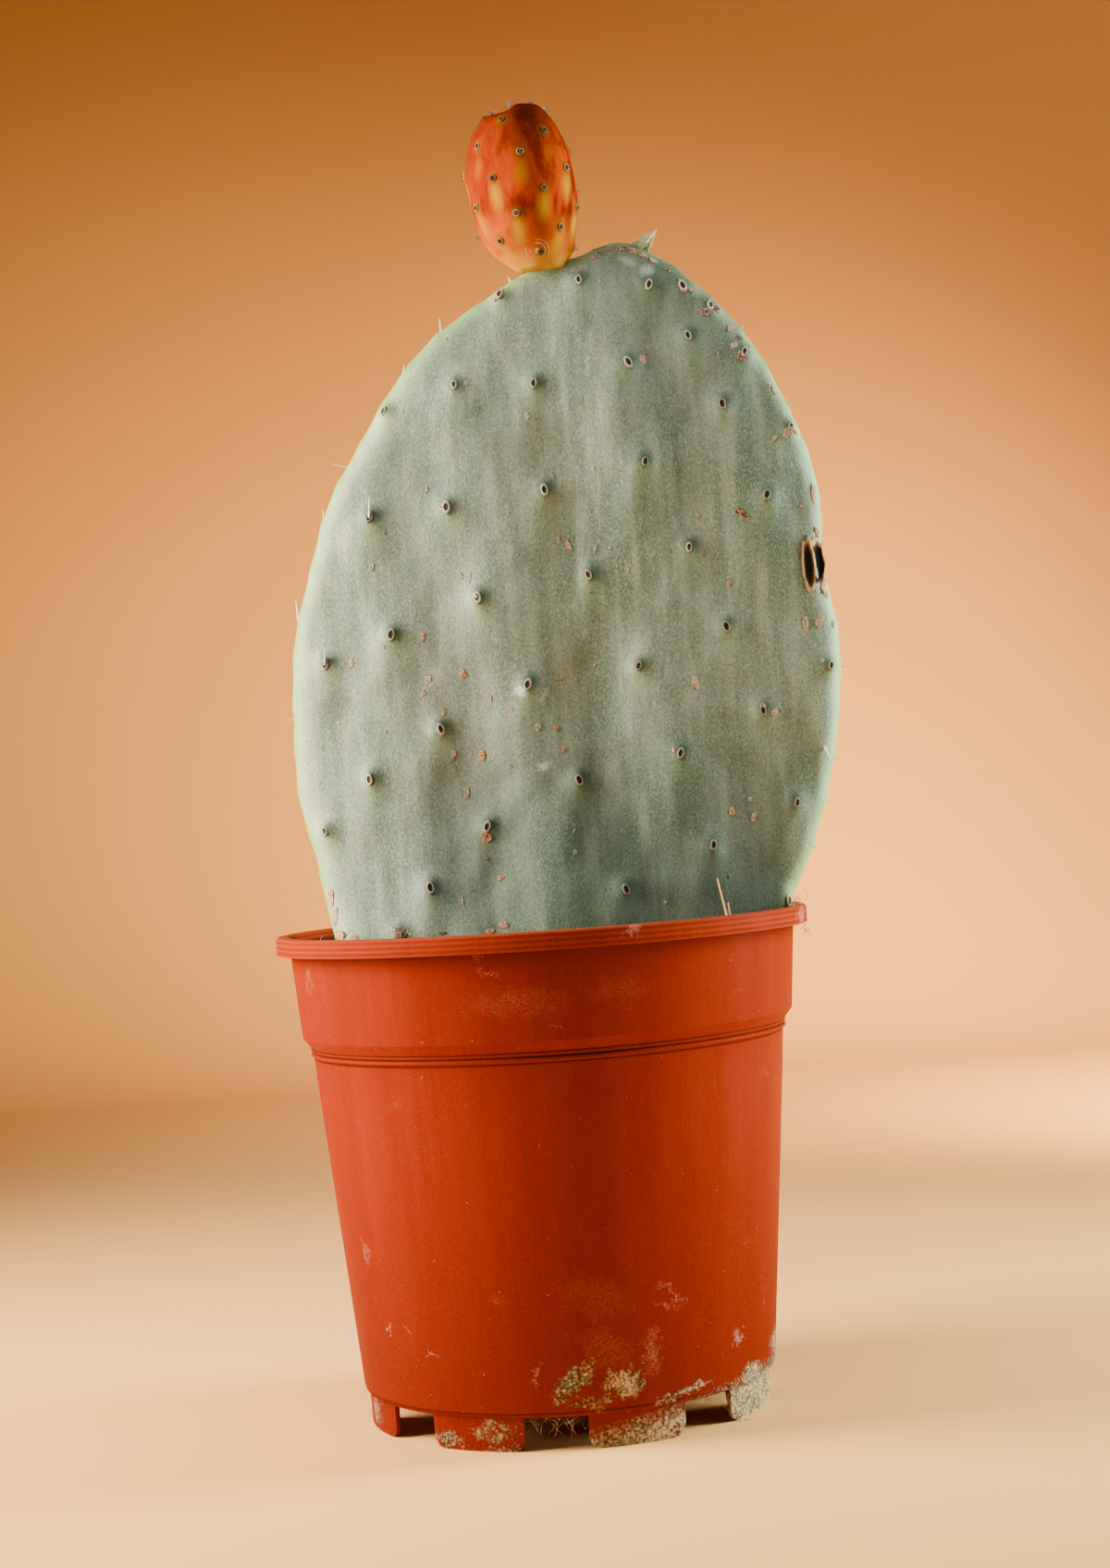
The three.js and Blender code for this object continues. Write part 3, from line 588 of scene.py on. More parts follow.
def tangled(seed):
    """Strands that wander from near the middle of each tangle, each a thin tube of three sides."""
    draw = np.random.default_rng(seed)
    corners, faces, tones = [], [], []
    for centre, count, length, spread in ROOT_TANGLES:
        for _ in range(count):
            here = np.array(at(*centre)) + draw.normal(0, 0.5, 3) * np.array(spread) * MM
            way = draw.normal(0, 1, 3)
            bend = draw.normal(0, 0.35, 3)
            tone = draw.random()
            steps = 10
            reach = draw.uniform(0.5, 1.0) * length * MM / steps
            thick = draw.uniform(0.07, 0.18) * MM
            for step in range(steps + 1):
                here[2] = max(here[2], 0.3 * MM)
                way = way / np.linalg.norm(way) + bend + draw.normal(0, 0.12, 3)
                way /= np.linalg.norm(way)
                across = np.cross(way, (0.3, 0.5, 0.8))
                across /= np.linalg.norm(across)
                over = np.cross(way, across)
                narrow = thick * (1 - 0.7 * step / steps)
                for turn in (0, 2.094, 4.189):
                    corners.append(here + narrow * (math.cos(turn) * across + math.sin(turn) * over))
                    tones.append(tone)
                first = len(corners) - 6
                if step:
                    for side in range(3):
                        after = (side + 1) % 3
                        faces.append((first + side, first + after, first + 3 + after, first + 3 + side))
                else:
                    faces.append((first + 5, first + 4, first + 3))
                here = here + way * reach
            faces.append((len(corners) - 3, len(corners) - 2, len(corners) - 1))
    return toned("roots", corners, faces, tones)


wear(tangled(8), by_tone("dry roots and plant hairs", "#3C2A1C", "#C2A67C", 1.0, 0.8, 0.02), None)

# ---- Pad -------------------------------------------------------------------------------------
# One prickly pear pad, grown as one piece: a flat oval stem about 22 mm thick with a rounded
# margin, rooted in the mix. The skin is grey-green under a bloom of wax, drawn into soft ribs,
# with a low wart under each areole.
PAD_SEGMENTS, FACE_RINGS, EDGE_RINGS = 400, 58, 12
PAD_CENTRE = (12, 92)
PAD_FOOT_THICKNESS, PAD_TAPER = 25, 0.038
PAD_EDGE, PAD_CROWN, PAD_EDGE_SHARE, PAD_SWELL, PAD_BOW, PAD_CURL = 6, 60, 0.42, 1.1, 5, 6
PAD_EDGE_BAND = 14
WART_RISE, WART_WIDTH, RIDGE_RISE = 1.3, 4.0, 1.0
PAD_OUTLINE = [
    (8, -60), (45, -54), (72, -38), (85.5, -19), (91.4, -6), (95.6, 4), (101.8, 15), (112.2, 44.5),
    (117.8, 72), (119.4, 98), (117.6, 114), (116.2, 127), (116.4, 143), (113.4, 167), (106.2, 188),
    (98.2, 206), (88.2, 222), (75.2, 236.4), (61, 248.8), (46.5, 255.4), (31, 251), (13.6, 247.5),
    (-3.2, 238), (-25.9, 223.9), (-42.3, 206.7), (-56.8, 185.1), (-70.2, 163.2), (-80, 134.8), (-86.5, 112),
    (-89, 82.5), (-88.6, 51), (-83.6, 28.5), (-79.8, 5), (-75, -14), (-62, -35), (-36, -53),
]
# Where the areoles stand on the front. On the back they stand lower and a little further in.
AREOLES = [
    (30, 240.5), (0, 237), (56, 237), (69, 235.5), (78.5, 227.5), (70, 216.5), (90.5, 209), (46, 207),
    (-19.5, 203), (10.5, 201.5), (-46.5, 195.5), (81, 189.5), (105.5, 179.5), (49.5, 169), (11.5, 161),
    (-25, 157), (-54.5, 155.5), (95, 153.5), (64.5, 136), (26.5, 128), (-15.5, 122), (-49, 110.5),
    (76.5, 105.5), (-74.5, 101.5), (43, 92.5), (1, 88.5), (114.5, 88.5), (-33, 74), (88, 73), (56, 59),
    (-60, 57), (17.5, 51.5), (-78.5, 38.5), (98, 38), (-17.5, 36.5), (65.5, 24), (-40.5, 15), (32, 9.5),
    (92.5, 1.5), (-53, -1.5),
]
BACK_INWARD, BACK_DROP = 0.94, 9
WOUND = (117.5, 131)
FRUIT_AT, BUD_AT = 16.4, 53.2


def closed_curve(points, count):
    """Evenly spaced points on the smooth closed curve through a few given ones."""
    points = np.array(points, float)
    dense = []
    for i in range(len(points)):
        p = points[np.arange(i - 1, i + 3) % len(points)]
        knots = np.concatenate([[0], np.cumsum(np.linalg.norm(np.diff(p, axis=0), axis=1) ** 0.5)])
        for t in np.linspace(knots[1], knots[2], 24, endpoint=False):
            near = [p[j] + (p[j + 1] - p[j]) * (t - knots[j]) / (knots[j + 1] - knots[j]) for j in range(3)]
            wide = [near[j] + (near[j + 1] - near[j]) * (t - knots[j]) / (knots[j + 2] - knots[j])
                    for j in range(2)]
            dense.append(wide[0] + (wide[1] - wide[0]) * (t - knots[1]) / (knots[2] - knots[1]))
    dense = np.array(dense + dense[:1])
    travelled = np.concatenate([[0], np.cumsum(np.linalg.norm(np.diff(dense, axis=0), axis=1))])
    stations = np.linspace(0, travelled[-1], count, endpoint=False)
    return np.stack([np.interp(stations, travelled, dense[:, k]) for k in (0, 1)], axis=1)


def outward(margin):
    """Unit direction out of the pad at each point of its margin."""
    along = np.roll(margin, -1, axis=0) - np.roll(margin, 1, axis=0)
    out = np.stack([along[:, 1], -along[:, 0]], axis=1)
    return out / np.linalg.norm(out, axis=1, keepdims=True)


def pad_half(x, z, depth, reach):
    """Half thickness of the pad: a thin round edge by the depth inside the margin, then a convex
    face by the reach to the margin along the line from the pad's centre."""
    edge = 1 - np.minimum(depth, PAD_EDGE) / PAD_EDGE
    crown = 1 - np.minimum(reach, PAD_CROWN) / PAD_CROWN
    ribs = np.sin(x / 8.5 + z / 60) + 0.6 * np.sin(x / 19 - z / 23 + 1)
    full = (PAD_FOOT_THICKNESS - PAD_TAPER * z) / 2
    face = PAD_EDGE_SHARE * np.sqrt(1 - edge ** 2) + (1 - PAD_EDGE_SHARE) * (1 - crown ** 2)
    return full * face + PAD_SWELL * (1 - crown) * ribs


def pad_bow(z, x=0):
    """How far the pad's middle plane curves back at a height, and towards its left margin."""
    curl = PAD_CURL * (np.maximum(PAD_CENTRE[0] - x, 0) / 100) ** 2 if np.any(x) else 0
    return PAD_BOW * ((z - 100) / 150) ** 2 * np.sign(z - 100) + 0.8 + curl


def near_wound(x, z):
    return abs(x - WOUND[0]) < 14 and abs(z - WOUND[1]) < 16


def areole_seats():
    """Every areole as its side (-1 front, 1 back, 0 margin), x, height and way out in the pad's plane."""
    seats = []
    for x, z in AREOLES:
        seats.append((-1, x, z, (0, 0)))
        x, z = PAD_CENTRE[0] + (x - PAD_CENTRE[0]) * BACK_INWARD, z - BACK_DROP
        if z > 0 and not near_wound(x, z):
            seats.append((1, x, z, (0, 0)))
    margin = closed_curve(PAD_OUTLINE, 49)
    for (x, z), way in zip(margin, outward(margin)):
        under_fruit = abs(x - FRUIT_AT) < 12 and z > 200
        under_bud = abs(x - BUD_AT) < 8 and z > 200
        if z > 4 and not under_fruit and not under_bud and not near_wound(x, z):
            seats.append((0, x, z, tuple(way)))
    return seats


def depth_inside(x, z):
    """How far each place lies inside the pad's margin, in millimetres."""
    margin = closed_curve(PAD_OUTLINE, 4 * PAD_SEGMENTS)
    tree = KDTree(len(margin))
    for i, (margin_x, margin_z) in enumerate(margin):
        tree.insert((margin_x, margin_z, 0), i)
    tree.balance()
    return np.array([tree.find((place_x, place_z, 0))[2] for place_x, place_z in zip(x, z)])


def pad_mesh():
    """A sphere whose rings are drawn out along spokes to the pad's outline and pressed flat."""
    rings = 2 * (FACE_RINGS + EDGE_RINGS)
    deselect()
    bpy.ops.mesh.primitive_uv_sphere_add(segments=PAD_SEGMENTS, ring_count=rings, radius=1)
    piece = bpy.context.object
    ball = np.array([vert.co for vert in piece.data.vertices])
    margin = closed_curve(PAD_OUTLINE, PAD_SEGMENTS)
    spokes = np.array(PAD_CENTRE) - margin
    lengths = np.linalg.norm(spokes, axis=1)
    spokes /= lengths[:, None]
    slant = -np.sum(spokes * outward(margin), axis=1)
    polar = np.arccos(np.clip(ball[:, 2], -1, 1))
    ring = np.rint(polar / math.pi * rings).astype(int)
    turn = np.arctan2(ball[:, 1], ball[:, 0]) / (2 * math.pi)
    station = np.rint(turn * PAD_SEGMENTS).astype(int) % PAD_SEGMENTS
    from_pole = np.minimum(ring, rings - ring)
    on_edge = np.clip((from_pole - FACE_RINGS) / EDGE_RINGS, 0, 1)
    inset = PAD_EDGE_BAND * (1 - np.cos((1 - on_edge) * math.pi / 2))
    scale = np.minimum(from_pole / FACE_RINGS, 1)
    reach = inset + (lengths[station] - PAD_EDGE_BAND) * (1 - scale)
    x, z = (margin[station] + spokes[station] * reach[:, None]).T
    side = np.where(ring < rings / 2, 1, -1) * (from_pole < rings / 2)
    y = pad_bow(z, x) + side * pad_half(x, z, reach * slant[station], reach)
    places = np.stack([AXIS_X + x * MM, y * MM, RIM_Z + z * MM], axis=1)
    piece.data.vertices.foreach_set("co", places.ravel())
    piece.data.update()
    bpy.ops.object.mode_set(mode="EDIT")
    close_edit()
    return settle(piece, "pad")


def surface_of(piece):
    return BVHTree.FromPolygons([vert.co for vert in piece.data.vertices],
                                [tuple(face.vertices) for face in piece.data.polygons])


def on_pad(tree, side, x, z, way=(0, 0)):
    """The point and the outward direction on the pad's surface at a seat."""
    if side:
        found = tree.ray_cast(at(x, side * 60, z), Vector((0, -side, 0)))
    else:
        start = at(x + way[0] * 20, float(pad_bow(z, x)), z + way[1] * 20)
        found = tree.ray_cast(start, Vector((-way[0], 0, -way[1])))
    return found[0], found[1]


pad = pad_mesh()
bare_skin = surface_of(pad)
seats = areole_seats()
eyes = [on_pad(bare_skin, *seat) for seat in seats]
eyes = [(point, normal, seat) for (point, normal), seat in zip(eyes, seats) if point]


def raise_warts(piece):
    """Raises the warts and soft lumps, sinks the old wound, and notes at each vertex: red is how near
    a point just up and right of an areole is, for the painted shade beside each wart, green the pale
    streak under it, blue the margin and alpha a painted highlight inside the left margin."""
    mesh = piece.data
    count = len(mesh.vertices)
    places = np.empty(count * 3)
    mesh.vertices.foreach_get("co", places)
    places = places.reshape(-1, 3)
    normals = np.array([vert.normal for vert in mesh.vertices])
    near, under, wart, ridge = (np.zeros(count) for _ in range(4))
    for centre, normal, (side, *_) in eyes:
        away = (places - np.array(centre)) / MM
        close = np.exp(-((np.linalg.norm(away, axis=1) / WART_WIDTH) ** 2))
        # the halo sits up and right of each areole, on its wart's side away from the key light: the dark
        # green painted there is painted shade over some greener rubbed skin
        shaded = away - (1.2, 0, 1.2)
        near = np.maximum(near, np.exp(-((np.linalg.norm(shaded, axis=1) / WART_WIDTH) ** 2)))
        wart = np.maximum(wart, close * (1 if side else 0.35))
        shallow = np.exp(-((away[:, 1] / 8) ** 2)) * abs(side)
        under = np.maximum(under, shallow * np.exp(-((away[:, 0] / 4) ** 2 + ((away[:, 2] + 6) / 5) ** 2)))
        lean = away[:, 0] - 0.25 * away[:, 2]
        ridge += (shallow * np.exp(-((lean / 8) ** 2 + ((away[:, 2] + 9) / 15) ** 2))) ** 3
    lumps = np.array([noise.noise(Vector(p) / (30 * MM)) + 0.35 * noise.noise(Vector(p) / (10 * MM))
                      for p in places])
    x, z = (places[:, 0] - AXIS_X) / MM, (places[:, 2] - RIM_Z) / MM
    bite = np.exp(-(((x - WOUND[0]) / 5) ** 2 + ((z - WOUND[1]) / 9) ** 2))
    depth = depth_inside(x, z)
    inner = np.minimum(depth / 12, 1)
    rise = WART_RISE * wart + (RIDGE_RISE * ridge ** (1 / 3) + 1.1 * lumps) * inner - 1.6 * bite
    places += normals * rise[:, None] * MM
    mesh.vertices.foreach_set("co", places.ravel())
    edge = np.exp(-((depth / 3.2) ** 2))
    growth = mesh.attributes.new("growth", "FLOAT_COLOR", "POINT")
    # painted highlight: a pale band inside the left margin, on the key light's side
    lit = np.exp(-(((depth - 4) / 5) ** 2)) * np.clip(-x / 40, 0, 1) * np.clip(0.45 + lumps, 0.3, 1)
    values = np.stack([near, under, edge, lit], axis=1)
    growth.data.foreach_set("color", values.ravel())
    mesh.update()


raise_warts(pad)
pad_skin_surface = surface_of(pad)


# Where the wax lies thicker in white smears, and thin scratches in it, given like the pot's scuffs.
SMEARS = [
    (-2, -11, 86, 3.2, 2.6, 30, 0.9), (5, -11, 57.5, 3, 2, -30, 0.6), (6.5, -11, 84, 1, 3.5, 35, 0.5),
    (31, -5, 208, 0.5, 6, 5, 0.5), (33, -4, 217, 0.45, 7, -3, 0.4), (41, -8, 172, 0.4, 4, 3, 0.4),
    (56, -2, 243, 4, 3, 0, 0.5), (49, -1, 247, 5, 2, 20, 0.35), (-33, -11, 95, 3, 6, 10, 0.18),
]


def waxy_skin():
    """Cactus skin: green tissue under a grey bloom of wax. It is clouded at 15 to 50 mm, faintly
    streaked down the pad, stippled at half a millimetre and yellow-green below the areoles. It also
    carries a painted highlight inside the left margin, painted shade low in the middle and high on
    the right, and a dark green halo up and right of each areole that is painted shade beside its
    wart over greener rubbed skin."""
    material, tree, place = new_material(
        "waxy cactus skin", 0.5, 1.42, Specular_IOR_Level=0.45, Subsurface_Weight=0.05,
        Subsurface_Radius=(0.9, 1.0, 0.35), Subsurface_Scale=1.2 * MM)
    x, _, z = parts_of("XYZ", place)
    growth = noted(tree, "growth", "Color")
    near, under, edge = parts_of("Color", growth)
    clouds = grains(stretched(place, 0.35), 26, 3)
    streaks = grains(stretched(place, 0.12), 5, 3)
    stipple = grains(stretched(place, 0.6), 0.6, 3, 0.75)
    flecks = grains(place, 1.2, 3, 0.75)
    colour = blend(between(clouds, 0.36, 0.66), "#677C68", "#8B9D8B")
    colour = blend(between(streaks, 0.48, 0.68), colour, "#ADB9A6", 0.5)
    colour = blend(between(streaks, 0.47, 0.32), colour, "#536A58", 0.4)
    # painted highlight: pale along the inside of the left margin, on the key light's side
    colour = blend(growth.node.outputs["Alpha"], colour, "#C2D4AC", 0.75)
    colour = blend(between(stipple, 0.52, 0.66), colour, "#B9C8B5", 0.6)
    colour = blend(between(stipple, 0.48, 0.34), colour, "#405845", 0.6)
    colour = blend(between(flecks, 0.6, 0.72), colour, "#C2D0BF", 0.25)
    colour = blend(under, colour, "#86A56E", 0.35)
    # painted shade: the skin is painted darker green low in the middle and high on the right
    low = calc(between(z, RIM_Z + 75 * MM, RIM_Z + 10 * MM), "*", between(x, -50 * MM, 0))
    high = calc(between(z, RIM_Z + 170 * MM, RIM_Z + 235 * MM), "*", between(x, 10 * MM, 50 * MM))
    colour = blend(calc(low, "max", high), colour, "#3F5340", 0.6)
    colour = blend(patches_at(shaken(place, flecks, 0.006), SMEARS), colour, "#D3DBD1")
    # dark green halo up and right of each areole: painted shade beside its wart, over some greener rubbed
    # skin
    colour = blend(between(near, 0.25, 1.05), colour, "#2E4A32")
    colour = blend(calc(edge, "*", between(high, 1.25, -0.1)), colour, "#84AE60", 0.8)
    rough = calc(calc(clouds, "*", 0.2), "+", 0.4)
    return finished(material, colour, calc(stipple, "+", calc(flecks, "*", 0.8)), 0.16, rough)


wear(pad, waxy_skin(), "paddle", 180)

# ---- Areoles and needles ---------------------------------------------------------------------
# Each areole is a small oval eye of pale cork round a dark red-brown pit, with a few short bristles.
# Some carry one cream needle, 2 to 9 mm long, mostly pointing up.
EYE_RINGS = [(2.3, -0.6), (2.15, 0.1), (1.9, 0.5), (1.62, 0.62), (1.35, 0.45), (0.8, 0.2), (0.35, 0.12)]
EYE_SIDES = 12


def ringed(rings, sides):
    """A small closed body of turned rings, drawn in millimetres with its foot sunk in."""
    corners = [(radius * math.cos(i * 2 * math.pi / sides), radius * math.sin(i * 2 * math.pi / sides), z)
               for radius, z in rings for i in range(sides)]
    corners += [(0, 0, rings[0][1] - 0.3), (0, 0, rings[-1][1])]
    faces = []
    last = (len(rings) - 1) * sides
    for i in range(sides):
        after = (i + 1) % sides
        for ring in range(0, last, sides):
            faces.append((ring + i, ring + after, ring + sides + after, ring + sides + i))
        faces.append((len(corners) - 2, after, i))
        faces.append((last + i, last + after, len(corners) - 1))
    return np.array(corners), faces


def eye_places(draw):
    """An eye on the wart of every areole, smaller and sunk a little where it sits on the margin."""
    places = []
    for point, normal, seat in eyes:
        found, normal, _, _ = pad_skin_surface.find_nearest(point)
        size = draw.uniform(0.84, 1.12) * MM
        if seat[0] == 0:
            size, found = size * 0.62, found - normal * 0.35 * MM
        oval = (size * 0.62, size * 1.08, size * 0.55)
        places.append((standing(found, normal, oval, draw.uniform(-0.35, 0.35)), draw.random()))
    return places


def corky(name, pit, rim, pale):
    """Grey-brown cork with a dark pit: the colour follows how far a point is sunk in its eye."""
    material, tree, place = new_material(name, 0.8, Specular_IOR_Level=0.1)
    grain = grains(place, 0.5, 5, 0.8)
    colour = blend(between(calc(noted(tree, "tone"), "*", grain), 0.1, 0.6), rim, pale)
    return finished(material, blend(noted(tree, "sunk"), colour, pit), grain, 0.2)


def note_sunk(piece, sides, by_rings):
    """Marks on each copy of a ringed body how deep in its pit every ring lies."""
    sunk = []
    for by_ring in by_rings:
        sunk += [value for value in by_ring for _ in range(sides)] + [by_ring[0], by_ring[-1]]
    piece.data.attributes.new("sunk", "FLOAT", "POINT").data.foreach_set("value", sunk)


draw = random.Random(21)
areoles = copies("areoles", ringed(EYE_RINGS, EYE_SIDES), eye_places(draw), 0.18, 21)
note_sunk(areoles, EYE_SIDES, [[0.7, 0.6, 0.1, 0.0, 0.8, 1.0, 0.9]] * len(eyes))
wear(areoles, corky("areole cork", "#20130E", "#948A74", "#E2D8BC"), None, 70)

bristle = template("cone", vertices=4, radius1=1, radius2=0.15, depth=1, location=(0, 0, 0.5))


def bristle_places(spots, count, length, spread, seed, thickness=0.07):
    """Short stiff hairs standing in each spot, fanned out about its way out."""
    draw = random.Random(seed)
    places = []
    for point, normal, size in spots:
        for _ in range(count):
            lean = Vector([draw.uniform(-spread, spread) for _ in range(3)])
            reach = draw.uniform(*length) * size
            start = point + Vector([draw.uniform(-0.5, 0.5) for _ in range(3)]) * MM
            sizes = (thickness * MM, thickness * MM, reach * MM)
            places.append((standing(start, normal + lean, sizes), draw.random()))
    return places


pad_spots = [(point, normal, 1.0) for point, normal, seat in eyes]
glochids = copies("pad_bristles", bristle, bristle_places(pad_spots, 6, (0.5, 1.3), 0.7, 31), 0.0, 31)
wear(glochids, by_tone("dry bristles", "#4A3526", "#A98E6E", 0.5, 0.6), None)

# Needles that stand where the light catches them: x and height of the foot, then of the tip.
SEEN_NEEDLES = [
    (-23.5, 224.8, -23.7, 230.3), (-39.2, 208.6, -38.2, 213.3), (-62.4, 176.4, -68.6, 177.9),
    (-72.7, 153.2, -72.6, 160.7), (-54.8, 155.6, -54.1, 163.3), (-26.4, 156.9, -30.7, 158.9),
    (-84.8, 119.2, -85.2, 127.5), (-75.1, 101.3, -74.6, 107.4), (-87.8, 81.7, -94.9, 82),
    (-16, 122.4, -18.8, 125.5), (110.6, 58.2, 112.9, 52.8),
]
NEEDLE_RADIUS = 0.48
needle = template("cone", vertices=7, radius1=1, radius2=0.16, depth=1, location=(0, 0, 0.5))


def needle_places(seed):
    draw = random.Random(seed)
    places = []

    def stand(point, lean, length):
        sizes = (NEEDLE_RADIUS * MM, NEEDLE_RADIUS * MM, length * MM)
        places.append((standing(point, lean, sizes), draw.random()))

    for x, z, tip_x, tip_z in SEEN_NEEDLES:
        foot = at(x, float(pad_bow(z, x)), z)
        if depth_inside([x], [z])[0] > PAD_EDGE / 2:
            foot, _ = on_pad(pad_skin_surface, -1, x, z)
        reach = Vector((tip_x - x, -2.5, tip_z - z))
        stand(foot, reach, reach.length)
    for point, normal, (side, x, *_) in eyes:
        likely = {-1: 0, 0: 0.4 if x > 0 else 0, 1: 0.35}[side]
        if draw.random() > likely:
            continue
        lean = normal + Vector((draw.uniform(-0.3, 0.3), draw.uniform(-0.3, 0.3), draw.uniform(0.1, 0.9)))
        stand(point, lean, draw.uniform(2, 4) if side == 0 else draw.uniform(5, 9))
    return places


needles = copies("needles", needle, needle_places(33), 0.0, 33)
wear(needles, by_tone("dry cactus needle", "#EBDCBC", "#FFFAEC", 2.0, 0.45, 0.02), None, 60)

# ---- Scars -----------------------------------------------------------------------------------
# Old knocks and insect bites that healed over with cork: thin flakes 1 to 7 mm long, pinkish tan,
# orange or olive, some torn open and dark inside, and one old wound in the right margin.
PINK, ORANGE, OLIVE, DARK = 0.1, 0.4, 0.6, 0.9
# Front scars that stand out: x, height, width, length, turn in degrees, how open, and which tint.
SCARS = [
    (69, 234.5, 3, 3, 0, 0.9, DARK), (77, 225.5, 5, 4, 0, 0.8, DARK), (86, 219, 2.5, 3, 0, 0.4, ORANGE),
    (87, 212, 4, 3, 0, 0.1, PINK), (90, 207.5, 5.5, 4, 0, 0.5, DARK), (53.5, 210, 1.7, 2, 0, 0.6, ORANGE),
    (52, 208.5, 3.5, 4.5, 15, 0.2, PINK), (-15, 204, 1.5, 2.5, 10, 0.1, PINK),
    (101, 194, 1.7, 3, 0, 0.2, PINK), (7, 190, 2, 3.5, 5, 0.1, PINK), (105, 178, 4, 4.5, -15, 0.5, PINK),
    (99.5, 175.5, 1.4, 4.2, -40, 0.1, PINK), (30.5, 168.5, 1.7, 3, 0, 0, PINK),
    (-32.5, 165, 2, 3, 0, 0.1, ORANGE), (51, 160, 1, 3, 0, 0, ORANGE), (108, 149, 2.4, 1.7, 0, 0, ORANGE),
    (69, 148, 2, 2.8, 0, 0, PINK), (86, 147, 2.8, 7.3, 48, 1, ORANGE), (16, 142, 2, 3, 5, 0.1, PINK),
    (19.5, 140, 2.4, 4.2, 10, 0.2, PINK), (29.5, 138, 1, 4, -5, 0.2, OLIVE), (35, 138, 2, 2, 0, 0.3, PINK),
    (-55, 136.5, 2.4, 3.5, 0, 0, OLIVE), (-21.5, 131, 1.4, 3, 0, 0.1, ORANGE),
    (-18.5, 130, 1.7, 5, -8, 0.3, PINK), (41, 129.5, 1.4, 2.8, 10, 0.1, PINK),
    (79, 122, 2, 3.5, -8, 0.3, ORANGE), (-37.5, 109, 2.4, 4, 0, 0.2, PINK),
    (111.5, 105, 3.8, 5.2, 0, 0.3, PINK), (106.5, 105, 2.4, 7, -6, 0.4, PINK),
    (-65, 101.5, 2, 5, 0, 0, PINK), (-23, 94, 3.5, 4.5, -25, 0.5, ORANGE), (-36, 93.5, 3, 2.4, 20, 0, PINK),
    (112, 90.5, 1.4, 2, 0, 0, PINK), (13, 90, 3.5, 2.4, 0, 0, OLIVE), (-38.5, 88, 2.4, 2.4, 0, 0, PINK),
    (63.5, 85.5, 3, 6, 0, 0.1, PINK), (-13.5, 84.5, 2, 2.8, 0, 0.2, PINK),
    (-31.5, 80.5, 1.7, 3.8, -12, 0.2, PINK), (-6, 79.5, 2.4, 2.8, 0, 0.1, ORANGE),
    (88, 75, 2.8, 3, 0, 0.6, PINK), (3.5, 72.5, 3.8, 3, 20, 0.2, OLIVE), (92.5, 72.5, 3, 4, 0, 0.3, PINK),
    (10.5, 72, 2.8, 3, 0, 0.1, ORANGE), (-28.5, 64.5, 2.8, 3.5, 0, 0.2, PINK),
    (-18, 63.5, 3.8, 5.2, 0, 0.1, ORANGE), (-24.5, 49.5, 1.7, 4.5, -12, 0.3, PINK),
    (81, 40.5, 1.7, 2.4, 0, 0.1, PINK), (74, 36, 3, 4.2, -5, 0.2, ORANGE), (82, 33.5, 2, 5, -15, 0.2, PINK),
    (-18, 32.5, 4.5, 4.5, 0, 0.3, ORANGE), (-14, -0.5, 6, 3.5, 0, 0.1, ORANGE),
    (-19, -2.5, 4, 2.5, 0, 0, ORANGE), (-52.5, -1.5, 6, 4, 0, 0.9, DARK), (-37, -2, 3.5, 2, 0, 0.8, DARK),
    (-18.5, 24.5, 1.7, 1.7, 0, 0, ORANGE), (-14, 17, 3, 2.8, 30, 0.1, ORANGE),
    (47, 4, 1.4, 1.7, 0, 0, PINK),
]
# Scabs on the margin, given the same way.
MARGIN_SCARS = [
    (114.2, 153, 2.2, 9, 4, 0.5, PINK), (115, 139, 2.6, 6, 14, 0.7, ORANGE),
    (112.3, 135.8, 4.6, 3.2, 40, 0, ORANGE), (115.6, 119, 3, 7.5, -24, 0, ORANGE),
    (116.8, 115.5, 2, 3, 0, 0.4, PINK), (118.6, 104.5, 1.6, 4, 0, 0.6, PINK),
    (45.5, 256, 3, 3.5, 80, 0.5, ORANGE), (49, 255.5, 2.8, 3.5, 75, 0.8, DARK),
    (52, 254.5, 3, 3.5, 70, 0.4, ORANGE), (56.5, 252.5, 3, 5, 60, 0.3, ORANGE),
    (60.5, 249.6, 2.2, 4, 50, 0.1, PINK), (34.5, 252.3, 2, 3.4, 80, 0.2, PINK),
    (-81, 13, 3, 8, -8, 0.1, ORANGE), (-79.6, 6, 2.8, 8, -14, 0, ORANGE), (-77.8, -1, 6, 5, 0, 0.1, ORANGE),
    (-70, -2, 4, 3, 0, 0.1, ORANGE), (66, 245.5, 2, 3, 50, 0.5, DARK), (70, 242, 1.6, 2.6, 45, 0.2, ORANGE),
    (80, 232, 2.4, 3.4, 45, 0.9, DARK), (84.5, 227, 1.8, 3, 40, 0.4, ORANGE),
    (92, 217, 2.2, 3.4, 35, 0.7, DARK), (95.5, 211.5, 1.5, 2.4, 30, 0.2, PINK),
    (103, 196.5, 1.8, 3.2, 25, 0.5, DARK), (110, 178.5, 1.5, 4, 20, 0.3, PINK),
    (38, 254, 2, 3.4, 75, 0.6, DARK), (41.5, 255.5, 1.6, 2.8, 80, 0.3, ORANGE),
    (75, 236, 2.5, 3.5, 45, 0.6, DARK), (82, 229.5, 2.2, 4, 40, 0.8, DARK),
    (-5, 237.5, 1.6, 2.4, 60, 0.3, ORANGE),
]
RANDOM_SCARS = 54
FLAKE_RINGS = [(1.2, -0.35), (1.1, 0.05), (0.9, 0.3), (0.6, 0.24), (0.28, 0.14)]
FLAKE_SIDES = 10


